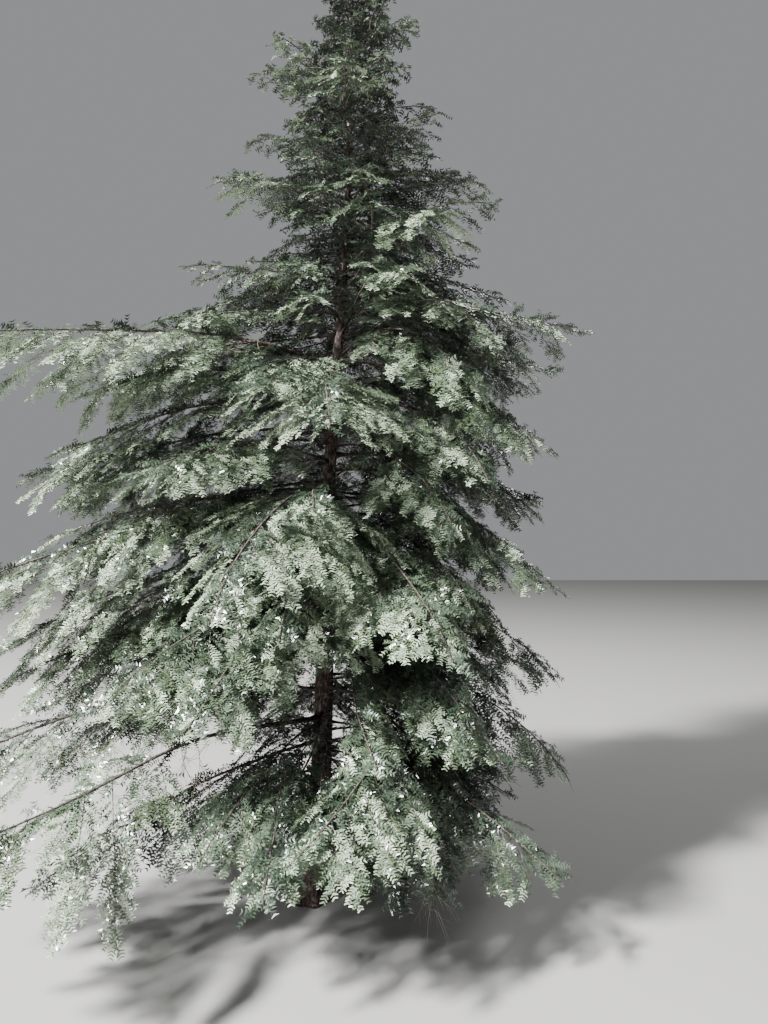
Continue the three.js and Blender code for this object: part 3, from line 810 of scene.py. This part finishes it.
def limb_sprays(own, rng):
    """The side branches of a limb: those of the solids, and shorter ones between them."""
    limb, path = limbs[own], paths[own]
    start, end = limb.bare, 1 - TIP_SPRAY
    least = PAIRS_FORK if limb.parent >= 0 else PAIRS_LEAST
    pairs = max(least, math.floor((end - start) * limb.length / PAIR_SPACING + 0.5))
    spacing = (end - start) * limb.length / pairs
    base = place_on(path, end)[0]
    reach = path[LIMB_STEPS] - base
    length = float(np.linalg.norm(reach))
    tip = Spray(own, base, unit(reach), length, TIP_SPRAY_WIDTH * length, TIP_SPRAY_DROOP)
    sprays, rims = [tip], [tip.rim()]
    usual_sag = mix(*SPRAY_SAGS, min(1, limb.height / CROWN_TOP))
    for k in range(pairs):
        shift = PAIR_SHIFT * (2 * chance(own, PAIR_CHOICE + k) - 1)
        share = (k + 0.5 + shift) / pairs
        for hand in (1, -1):
            branch = 2 * k + (hand < 0)
            picks = [2 * chance(own, SPRAY_CHOICE * c + branch) - 1 for c in (1, 2, 3)]
            sag = usual_sag * (1 + SPRAY_SAG_CHANGE * picks.pop(1))
            for cut in CUT_BACK:
                spray = side_spray(own, share, mix(start, end, share), hand, picks, sag, spacing, cut)
                rim = spray.rim()
                if not any(rims_cross(other, rim) for other in rims) and in_own_space(own, rim):
                    sprays.append(spray)
                    rims.append(rim)
                    break
    for k in range(pairs + 1):
        for hand in (1, -1):
            share = np.clip((k + rng.uniform(-FILL_SHIFT, FILL_SHIFT)) / pairs, 0, 1)
            picks = rng.uniform(-1, 1, 2)
            sag = rng.uniform(*FILL_SAG)
            spray = side_spray(own, share, mix(start, end, share), hand, picks, sag, spacing, FILL_LENGTH)
            spray.roll = rng.uniform(-FILL_ROLL, FILL_ROLL)
            points = spray.place(FILL_CHECKED)
            if points[:, 2].min() > GROUND_GAP + spray.width / 2 and clear_of_trunk(points).all():
                sprays.append(spray)
    return sprays


def hides_trunk(spray):
    """Whether a side branch hangs in front of the trunk where it shows between the fans."""
    along, across = np.meshgrid(SHOWS_ALONG, SHOWS_ACROSS)
    toward = spray.place(along.ravel(), across.ravel()) - CAMERA_PLACE
    reach = (trunk_axis(toward[:, 2] + CAMERA_PLACE[2])[:, 1] - CAMERA_PLACE[1]) / toward[:, 1]
    seen = CAMERA_PLACE + toward * reach[:, None]
    beside = np.abs(seen[:, 0] - trunk_axis(seen[:, 2])[:, 0])
    in_front = (reach > 1) & (beside < trunk_radius(seen[:, 2]) + SHOWS_MARGIN)
    return any((in_front & (foot < seen[:, 2]) & (seen[:, 2] < top)).any() for foot, top in TRUNK_SHOWS)


def cut_clear(spray):
    """The side branch, cut back where it would hide the trunk; none if it always would."""
    for cut in CUT_BACK:
        shorter = replace(spray, length=cut * spray.length, width=cut * spray.width)
        if not hides_trunk(shorter):
            return shorter
    return None


rng = np.random.default_rng(SEED)
sprays = [cut_clear(spray) for own in range(len(limbs)) for spray in limb_sprays(own, rng)]
sprays = [spray for spray in sprays if spray is not None]

# Twigs and needles
# Each side branch carries fine twigs alternately left and right, and longer twigs carry twiglets.
# Flat blunt needles stand in two rows along them all, dark green and glossy above, with a pale glint that
# is partly painted in the palest tone.
TWIG_SPACING = 0.034
TWIG_FIRST = 0.06
TWIG_SHIFT = 0.3
TWIG_STEPS = np.array([0, 0.5, 1])
TWIG_NEEDLES = np.array([0.7, 1, 0.75])
TWIG_OUTLINE = [(0, 0.5), (0.3, 1), (0.45, 0.72), (0.65, 0.8), (0.9, 0.35), (1, 0.16)]
TWIG_ANGLES = (60, 36)
TWIG_ANGLE_CHANGE = 9
TWIG_LENGTHS = (0.6, 1.12)
TWIG_LEAST = 0.016
TWIG_BEND = 0.16
TWIG_DROOP = 0.2
TWIG_ROLL = 28
TWIG_RADIUS = 0.0007
TWIG_TAPER = 0.6
TWIG_STEP = 0.07
# A side branch's own line: how it thins and sways, and its needles, which start on its outer half.
AXIS_RADIUS = 0.0019
AXIS_TAPER = 0.75
AXIS_LEAST = 0.0005
AXIS_FULL = 0.3  # the length from which its radius is full
AXIS_STEPS = 7
AXIS_SWAY = 0.22
AXIS_BARE = 0.45
AXIS_GROWING = 0.25
AXIS_NEEDLE = 0.9
AXIS_NEAR = 0.02
# Side branches are paler outwards, from their paler new growth and as painted shade on the inner ones;
# paler towards the sun and in the front fans as painted sunlight; paler at some heights and darker at
# others as painted light and shade; and twigs are paler towards the tip of theirs as painted light.
# Both come with some chance in them.
PAINTED_SUN_BEARING = 256
PAINTED_SUN_SHARE = 0.7
PAINTED_LIGHT_HEIGHTS = [(0.5, -0.5), (1.6, 0.1), (2.4, 0.1), (3.1, -0.3)]
PAINTED_LIT_FANS = ("umbrella", "fan_", "front_high", "front_middle")
FAN_PAINTED_LIGHT = 0.7
TONE_CHANGE = 0.5
TWIG_TIP_PAINTED_LIGHT = 0.3
TWIG_TONE_CHANGE = 0.22
WOODY_TWIG = 0.055  # from this length a twig has wood, and from the next one twiglets
LONG_TWIG = 0.05
TWIGLETS = [(0.3, 1), (0.52, -1)]  # where they stand on the twig, and on which side
TWIGLET_LENGTH = 0.5
TWIGLET_REACH = 1.2
TWIGLET_ANGLE = 42
TWIGLET_RADIUS = 0.7
TWIGLET_NEEDLE = 0.8
# Short twigs straight from a limb.
STEM_TWIG_SPACING = 0.026
STEM_TWIG_LENGTHS = (0.045, 0.1)
STEM_TWIG_FULL = 0.8
STEM_TWIG_LAST = 0.99
STEM_TWIG_LIFT = (-0.2, 0.7)
STEM_TWIG_ANGLES = (35, 75)
STEM_TONES = (1, 2, 3)
# Needles are larger and further apart than living ones, which are under 2 mm wide.
NEEDLE_LENGTH = 0.0162
NEEDLE_WIDTH = 0.0068
NEEDLE_PITCH = 0.0088
NEEDLE_TILT = 0.26
NEEDLE_ROLL = 0.45
NEEDLE_ANGLE = 62
NEEDLE_ANGLE_CHANGE = 12
NEEDLE_SIZES = (0.8, 1.15)
NEEDLE_LEAST = 0.05
NEEDLE_TIP = 0.6
MERGE_DISTANCE = 0.0001
INNER_WIDTH = 1.2
TILT_SEED = 10
SIZE_SEED = 20
ROLL_SEED = 30
# Each tone of green from the inner branches out: its colour, about what share of the foliage has
# it, and how large and far apart its needles are beside the outer ones. The larger are triangles.
# The darker tones carry painted shade and the paler ones painted light, beside the needles' own
# change of colour; the palest stands for the pale bands under the needles and a painted glint.
NEEDLE_TONES = [
    ("deep", "1e261d", 0.16, 1.34),
    ("shaded", "273327", 0.17, 1.28),
    ("dark", "323e31", 0.17, 1.22),
    ("middle", "3d4a3b", 0.17, 1.14),
    # The yellow-green of new growth, also dealt as painted light on the sun side and in the fans.
    ("fresh", "47543e", 0.17, 1.08),
    ("pale", "566451", 0.09, 1),
    # The pale bands under the needles, and a painted glint.
    ("waxy", "8a9881", 0.07, 1),
]
tone_ends = np.cumsum([share for _, _, share, _ in NEEDLE_TONES])


def tone_at(rank):
    """The tone of green at a rank from 0, the darkest, to 1."""
    return np.searchsorted(tone_ends, np.clip(rank, 0, 0.999), side="right")


def turned(ahead, side, degrees):
    """Each direction turned from ahead towards the side."""
    angle = np.radians(degrees)[..., None]
    return ahead * np.cos(angle) + side * np.sin(angle)


def add_twigs(wood, needled, roots, ahead, side, lift, sizes, angles, rng):
    """Needled twigs from their roots, with twiglets of needles alone on the long ones."""
    out = turned(ahead, side, angles)
    bend = TWIG_BEND * ahead - TWIG_DROOP * UP
    roll = np.radians(rng.uniform(-TWIG_ROLL, TWIG_ROLL, len(roots)))[:, None]
    face = lift * np.cos(roll) + unit(np.cross(out, lift)) * np.sin(roll)
    reach = sizes[:, None, None] * TWIG_STEPS[:, None]
    points = roots[:, None] + out[:, None] * reach + bend[:, None] * reach * TWIG_STEPS[:, None]
    radius = TWIG_RADIUS * (1 - TWIG_TAPER * TWIG_STEPS)
    wood.add(points[sizes > WOODY_TWIG], radius)
    needled.add(points, radius, face[:, None], TWIG_NEEDLES)
    long = sizes > LONG_TWIG
    for share, hand in TWIGLETS:
        start = roots + out * (sizes * share)[:, None] + bend * (sizes * share**2)[:, None]
        across = unit(np.cross(face, out)) * hand
        small_out = turned(out, across, np.full(len(roots), TWIGLET_ANGLE))
        small_size = (sizes * TWIGLET_LENGTH * (TWIGLET_REACH - share))[:, None, None]
        small = start[:, None] + small_out[:, None] * small_size * TWIG_STEPS[::2, None]
        needled.add(small[long], TWIGLET_RADIUS * radius[::2], face[long][:, None], TWIGLET_NEEDLE)


def add_spray(wood, tones, spray, rank, rng):
    """The lines of one side branch, its needles in a tone for each twig, paler towards its tip as painted
    light.
    """
    sway = rng.uniform(-AXIS_SWAY, AXIS_SWAY)

    def axis(along):
        return spray.place(along, sway * np.sin(np.pi * along))

    steps = np.linspace(0, 1, AXIS_STEPS)
    side, lift = spray.frame()
    radius = AXIS_RADIUS * (1 - AXIS_TAPER * steps) * min(1, spray.length / AXIS_FULL)
    needle = np.clip((steps - AXIS_BARE) / AXIS_GROWING, 0, AXIS_NEEDLE)
    wood.add(axis(steps), np.maximum(radius, AXIS_LEAST))
    tones[tone_at(rank)].add(axis(steps), radius, lift, needle)
    count = 2 * max(2, round(spray.length * (1 - TWIG_FIRST) / TWIG_SPACING))
    places = np.arange(count) + 0.5 + rng.uniform(-TWIG_SHIFT, TWIG_SHIFT, count)
    along = mix(TWIG_FIRST, 1, places / count)
    hands = np.where(np.arange(count) % 2 == rng.integers(2), 1, -1)[:, None]
    ahead = unit(axis(along + AXIS_NEAR) - axis(along - AXIS_NEAR))
    angles = mix(*TWIG_ANGLES, along) + rng.uniform(-TWIG_ANGLE_CHANGE, TWIG_ANGLE_CHANGE, count)
    sizes = spray.width * read_off(TWIG_OUTLINE, along) / np.sin(np.radians(angles))
    sizes = np.maximum(sizes * rng.uniform(*TWIG_LENGTHS, count), TWIG_LEAST)
    roots = axis(along)
    # Twigs towards the branch's tip are paler as painted light, with some chance in it.
    paler = TWIG_TIP_PAINTED_LIGHT * (along - 0.5) + TWIG_TONE_CHANGE * rng.uniform(-1, 1, count)
    twig_tones = tone_at(rank + paler)
    for tone in np.unique(twig_tones):
        some = twig_tones == tone
        add_twigs(
            wood, tones[tone], roots[some], ahead[some], (side * hands)[some], lift, sizes[some],
            angles[some], rng,
        )


def add_stem_twigs(wood, needled, own, rng):
    """Short twigs straight from the foliage part of a limb."""
    limb, path = limbs[own], paths[own]
    count = round((1 - limb.bare) * limb.length / STEM_TWIG_SPACING)
    places = [place_on(path, share) for share in np.linspace(limb.bare, STEM_TWIG_LAST, count)]
    roots, ahead, side = (np.array(values) for values in zip(*places))
    side = side * rng.choice([-1, 1], count)[:, None]
    side = unit(side + UP * rng.uniform(*STEM_TWIG_LIFT, count)[:, None])
    lift = unit(np.cross(ahead, side))
    lift *= np.sign(lift[:, 2:])
    sizes = rng.uniform(*STEM_TWIG_LENGTHS, count) * min(1, limb.length / STEM_TWIG_FULL)
    angles = rng.uniform(*STEM_TWIG_ANGLES, count)
    add_twigs(wood, needled, roots, ahead, side, lift, sizes, angles, rng)


def over(tree, value, limit):
    """Whether a number is over a limit."""
    settings = {"data_type": "FLOAT", "operation": "GREATER_THAN"}
    return add_node(tree, "FunctionNodeCompare", settings, {0: value, 1: limit}).outputs["Result"]


def any_between(tree, low, high, seed):
    """A random number for each needle."""
    inputs = {2: low, 3: high, "Seed": seed}
    return add_node(tree, "FunctionNodeRandomValue", {"data_type": "FLOAT"}, inputs).outputs[1]


def needle_tree():
    """Blunt needles in two rows along every line."""
    sockets = dict.fromkeys(("Pitch", "Length", "Width", "Tip"), "NodeSocketFloat")
    sockets["Needle"] = "NodeSocketMaterial"
    tree, given, out = tree_with_inputs("needle_rows", sockets)
    curve = geometry_node(tree, "MeshToCurve", Mesh=given["Geometry"])
    spaced = geometry_node(tree, "ResampleCurve", {"mode": "LENGTH"}, Curve=curve, Length=given["Pitch"])
    blade = geometry_node(
        tree, "MeshGrid", Size_X=given["Width"], Size_Y=given["Length"], Vertices_X=2, Vertices_Y=2
    )
    half = maths(tree, "MULTIPLY", given["Length"], 0.5)
    from_root = add_node(tree, "ShaderNodeCombineXYZ", inputs={"Y": half}).outputs["Vector"]
    place = geometry_node(tree, "InputPosition")
    parts = add_node(tree, "ShaderNodeSeparateXYZ", inputs={"Vector": place}).outputs
    taper = add_node(
        tree, "GeometryNodeSwitch", {"input_type": "FLOAT"},
        {"Switch": over(tree, parts["Y"], 0.0), "False": 1.0, "True": given["Tip"]},
    )
    narrow = maths(tree, "MULTIPLY", parts["X"], taper.outputs["Output"])
    shaped = add_node(tree, "ShaderNodeCombineXYZ", inputs={"X": narrow, "Y": parts["Y"]})
    shaped = shaped.outputs["Vector"]
    tapered = geometry_node(tree, "SetPosition", Geometry=blade, Position=shaped, Offset=from_root)
    needle = geometry_node(tree, "MergeByDistance", Geometry=tapered, Distance=MERGE_DISTANCE)
    face = geometry_node(tree, "InputNamedAttribute", {"data_type": "FLOAT_VECTOR"}, Name="face")
    size = geometry_node(tree, "InputNamedAttribute", {"data_type": "FLOAT"}, Name="needle")
    tangent = geometry_node(tree, "InputTangent")
    side = vector_maths(tree, "CROSS_PRODUCT", face, tangent)
    least = math.radians(NEEDLE_ANGLE - NEEDLE_ANGLE_CHANGE)
    most = math.radians(NEEDLE_ANGLE + NEEDLE_ANGLE_CHANGE)
    rows = add_node(tree, "GeometryNodeJoinGeometry")
    for seed, hand in ((1, 1), (2, -1)):
        angle = any_between(tree, least, most, seed)
        tilt = any_between(tree, -NEEDLE_TILT, NEEDLE_TILT, seed + TILT_SEED)
        roll = any_between(tree, -NEEDLE_ROLL, NEEDLE_ROLL, seed + ROLL_SEED)
        change = any_between(tree, *NEEDLE_SIZES, seed + SIZE_SEED)
        sideways = maths(tree, "MULTIPLY", maths(tree, "SINE", angle), hand)
        along = vector_maths(tree, "SCALE", tangent, Scale=maths(tree, "COSINE", angle))
        aside = vector_maths(tree, "MULTIPLY_ADD", side, sideways, along)
        turn = add_node(
            tree, "FunctionNodeAxesToRotation", {"primary_axis": "Y", "secondary_axis": "Z"},
            {
                "Primary Axis": vector_maths(tree, "MULTIPLY_ADD", face, tilt, aside),
                "Secondary Axis": vector_maths(tree, "MULTIPLY_ADD", tangent, roll, face),
            },
        )
        row = geometry_node(
            tree, "InstanceOnPoints",
            Points=spaced,
            Selection=over(tree, size, NEEDLE_LEAST),
            Instance=needle,
            Rotation=turn.outputs["Rotation"],
            Scale=maths(tree, "MULTIPLY", change, size),
        )
        tree.links.new(row, rows.inputs["Geometry"])
    end_tree(tree, rows.outputs["Geometry"], given["Needle"], out)
    return tree


def paleness_with_painted_light(spray):
    """How pale a side branch is: paler outwards, from its new growth and as painted shade on inner ones,
    paler towards the sun and in the front fans as painted sunlight, and lighter at some heights and
    darker at others as painted light and shade.
    """
    limb = limbs[spray.limb]
    out = spray.place(0.7) - trunk_axis(limb.height)
    bearing = math.radians(PAINTED_SUN_BEARING) - math.atan2(out[1], out[0])
    outward = math.hypot(out[0], out[1]) / length_near(limb.height, limb.bearing)
    painted_sun = outward * (1 + PAINTED_SUN_SHARE * math.cos(bearing))
    painted_sun += FAN_PAINTED_LIGHT * limb.name.startswith(PAINTED_LIT_FANS)
    return painted_sun + read_off(PAINTED_LIGHT_HEIGHTS, spray.base[2])


twig_lines = Lines()
tone_lines = [Lines() for _ in NEEDLE_TONES]
# Side branches are ranked from darkest to palest by this painted light and shade, with some chance in it.
order = np.argsort([paleness_with_painted_light(spray) + TONE_CHANGE * rng.random() for spray in sprays])
areas = np.array([spray.length * spray.width for spray in sprays])
ranks = np.empty(len(sprays))
ranks[order] = np.cumsum(areas[order]) / areas.sum()
for spray, rank in zip(sprays, ranks):
    add_spray(twig_lines, tone_lines, spray, rank, rng)
for own in range(len(limbs)):
    add_stem_twigs(twig_lines, tone_lines[STEM_TONES[own % len(STEM_TONES)]], own, rng)

smooth_wood = {"Sides": 3, "Caps": False, "Ridge Depth": 0.0, "Ridge Length": LIMB_RIDGE_LENGTH}
twig_values = {**smooth_wood, "Step": TWIG_STEP, "Bark": limb_bark}
twigs = grow("twigs", twig_lines, wood_tree, twig_values)
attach(twigs, "root")
needle_rows = needle_tree()
for (tone, colour, _, size), lines in zip(NEEDLE_TONES, tone_lines):
    inner = size > 1
    # Hemlock needles, glossy enough to glint; each tone's base colour carries painted shade in the dark
    # tones, and painted light and a painted glint in the pale ones.
    needle_coat, _, _ = new_material(
        f"{tone}_needles", roughness=0.3, Base_Color=srgb(colour), Specular_IOR_Level=0.75
    )
    needles = grow(f"{tone}_needles", lines, needle_rows, {
        "Pitch": NEEDLE_PITCH * size,
        "Length": NEEDLE_LENGTH * size,
        "Width": NEEDLE_WIDTH * size * (INNER_WIDTH if inner else 1),
        "Tip": 0.0 if inner else NEEDLE_TIP,
        "Needle": needle_coat,
    })
    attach(needles, "root")
    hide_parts(*[name for name in frame["nodes"] if name.startswith("foliage_")])

# Dead twigs
# Fine bare twigs on the shaded inner part of the limbs and low on the trunk, grey and brittle, and
# longer ones that hang below the lowest fans.
DEAD_SPACING = 0.09
DEAD_FROM = 0.15  # of the bare part of a limb
DEAD_LENGTHS = (0.07, 0.22)
DEAD_ANGLES = (35, 80)
DEAD_RISES = (-0.5, 0.3)
DEAD_RADIUS = 0.0013
DEAD_LEAST_RADIUS = 0.0005
DEAD_TAPER = 0.6
DEAD_POINTS = 6
DEAD_WAVER = 0.1
DEAD_WAVES = (0.7, 1.9)
DEAD_DROOP = 0.25
DEAD_BRANCHES = 3
DEAD_BRANCH_PLACES = (0.2, 0.85)
DEAD_BRANCH_ANGLES = (30, 60)
DEAD_BRANCH_LENGTHS = (0.3, 0.55)
DEAD_STEP = 0.04
# Those on the trunk start in its middle, so they are longer.
DEAD_ON_TRUNK = 36
DEAD_TRUNK_HEIGHTS = (0.25, 2.9)
DEAD_TRUNK_RISES = (-0.4, 0.5)
DEAD_TRUNK_LONGER = 0.05
# Those that hang below the lowest limbs lean out a little along and across them.
HANGING_BELOW = 1.1
HANGING_COUNT = 3
HANGING_PLACES = (0.35, 0.85)
HANGING_ALONG = (-0.5, 0.6)
HANGING_ACROSS = (-0.5, 0.5)
HANGING_LENGTHS = (0.14, 0.26)


def add_dead_twig(lines, base, forward, length, branches, rng):
    """A bare twig that wavers and hangs a little, with smaller ones along it."""
    steps = np.linspace(0, 1, DEAD_POINTS)
    side = unit(np.cross(forward, rng.normal(size=3)))
    waver = DEAD_WAVER * np.sin(steps * math.pi * rng.uniform(*DEAD_WAVES))
    drop = DEAD_DROOP * UP * steps[:, None] ** 2
    points = base + length * (steps[:, None] * forward + waver[:, None] * side - drop)
    if points[:, 2].min() < GROUND_GAP:
        return
    radius = max(DEAD_LEAST_RADIUS, DEAD_RADIUS * math.sqrt(length / DEAD_LENGTHS[1]))
    lines.add(points, radius * (1 - DEAD_TAPER * steps))
    for share in rng.uniform(*DEAD_BRANCH_PLACES, branches):
        start = points[int(share * (DEAD_POINTS - 1))]
        away = unit(np.cross(forward, rng.normal(size=3)))
        turn = math.radians(rng.uniform(*DEAD_BRANCH_ANGLES))
        out = forward * math.cos(turn) + away * math.sin(turn)
        shorter = length * rng.uniform(*DEAD_BRANCH_LENGTHS)
        add_dead_twig(lines, start, out, shorter, branches // DEAD_BRANCHES, rng)


dead_lines = Lines()
for limb, path in zip(limbs, paths):
    for i in range(round(limb.bare * limb.length / DEAD_SPACING)):
        base, along, across = place_on(path, limb.bare * rng.uniform(DEAD_FROM, 1))
        turn = math.radians(rng.uniform(*DEAD_ANGLES))
        out = along * math.cos(turn) + across * rng.choice([-1, 1]) * math.sin(turn)
        out = unit(out + UP * rng.uniform(*DEAD_RISES))
        add_dead_twig(dead_lines, base, out, rng.uniform(*DEAD_LENGTHS), DEAD_BRANCHES, rng)
    if limb.height < HANGING_BELOW:
        for i in range(HANGING_COUNT):
            base, along, across = place_on(path, rng.uniform(*HANGING_PLACES))
            out = rng.uniform(*HANGING_ALONG) * along + rng.uniform(*HANGING_ACROSS) * across
            length = rng.uniform(*HANGING_LENGTHS)
            add_dead_twig(dead_lines, base, unit(out - UP), length, 2 * DEAD_BRANCHES, rng)
for i in range(DEAD_ON_TRUNK):
    height = rng.uniform(*DEAD_TRUNK_HEIGHTS)
    bearing = rng.uniform(0, 2 * math.pi)
    rise = rng.uniform(*DEAD_TRUNK_RISES)
    out = unit(np.array([math.cos(bearing), math.sin(bearing), rise]))
    length = DEAD_TRUNK_LONGER + rng.uniform(*DEAD_LENGTHS)
    add_dead_twig(dead_lines, trunk_axis(height), out, length, DEAD_BRANCHES, rng)

# Weathered dead wood without its bark: pale grey-brown and dry.
dead_wood, _, _ = new_material("dead_twig_wood", roughness=0.9, Base_Color=srgb("857a6e"))
dead_values = {**smooth_wood, "Step": DEAD_STEP, "Bark": dead_wood}
dead_twigs = grow("dead_twigs", dead_lines, wood_tree, dead_values)
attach(dead_twigs, "root")

# Floor, light and camera
# A plain pale floor and soft studio light; the camera stands where the photograph was taken.
FLOOR_SIZE = 60
CAMERA_TILT = 2.6
CAMERA_LENS = 26
SENSOR_WIDTH = 36
SKY = 0.36
LAMPS = [
    ("key", (-9.2, -8.0, 11.6), 0.9, 80000),
    ("fill", (5.2, -4.2, 3.5), 2.0, 260),
    ("rim", (2.5, 5.5, 6.5), 1.5, 1200),
]

floor_mesh = bpy.data.meshes.new("floor")
corners = [(x * FLOOR_SIZE / 2, y * FLOOR_SIZE / 2, 0) for x, y in ((-1, -1), (1, -1), (1, 1), (-1, 1))]
floor_mesh.from_pydata(corners, [], [(0, 1, 2, 3)])
floor = add_object("floor", floor_mesh)
# Matt pale floor paint.
floor_paint, _, _ = new_material("floor_paint", roughness=0.9, Base_Color=srgb("8c8b88"))
floor_mesh.materials.append(floor_paint)

world = bpy.data.worlds.new("studio")
world.use_nodes = True
world.node_tree.nodes["Background"].inputs["Color"].default_value = srgb("e8ecee")
world.node_tree.nodes["Background"].inputs["Strength"].default_value = SKY
bpy.context.scene.world = world
for name, place, radius, power in LAMPS:
    lamp = bpy.data.lights.new(name, "POINT")
    lamp.shadow_soft_size = radius
    lamp.energy = power
    add_object(name, lamp).location = place

camera_data = bpy.data.cameras.new("camera")
camera_data.lens = CAMERA_LENS
camera_data.sensor_width = SENSOR_WIDTH
camera = add_object("camera", camera_data)
camera.location = CAMERA_PLACE
camera.rotation_euler = (math.radians(90 + CAMERA_TILT), 0, 0)
bpy.context.scene.camera = camera
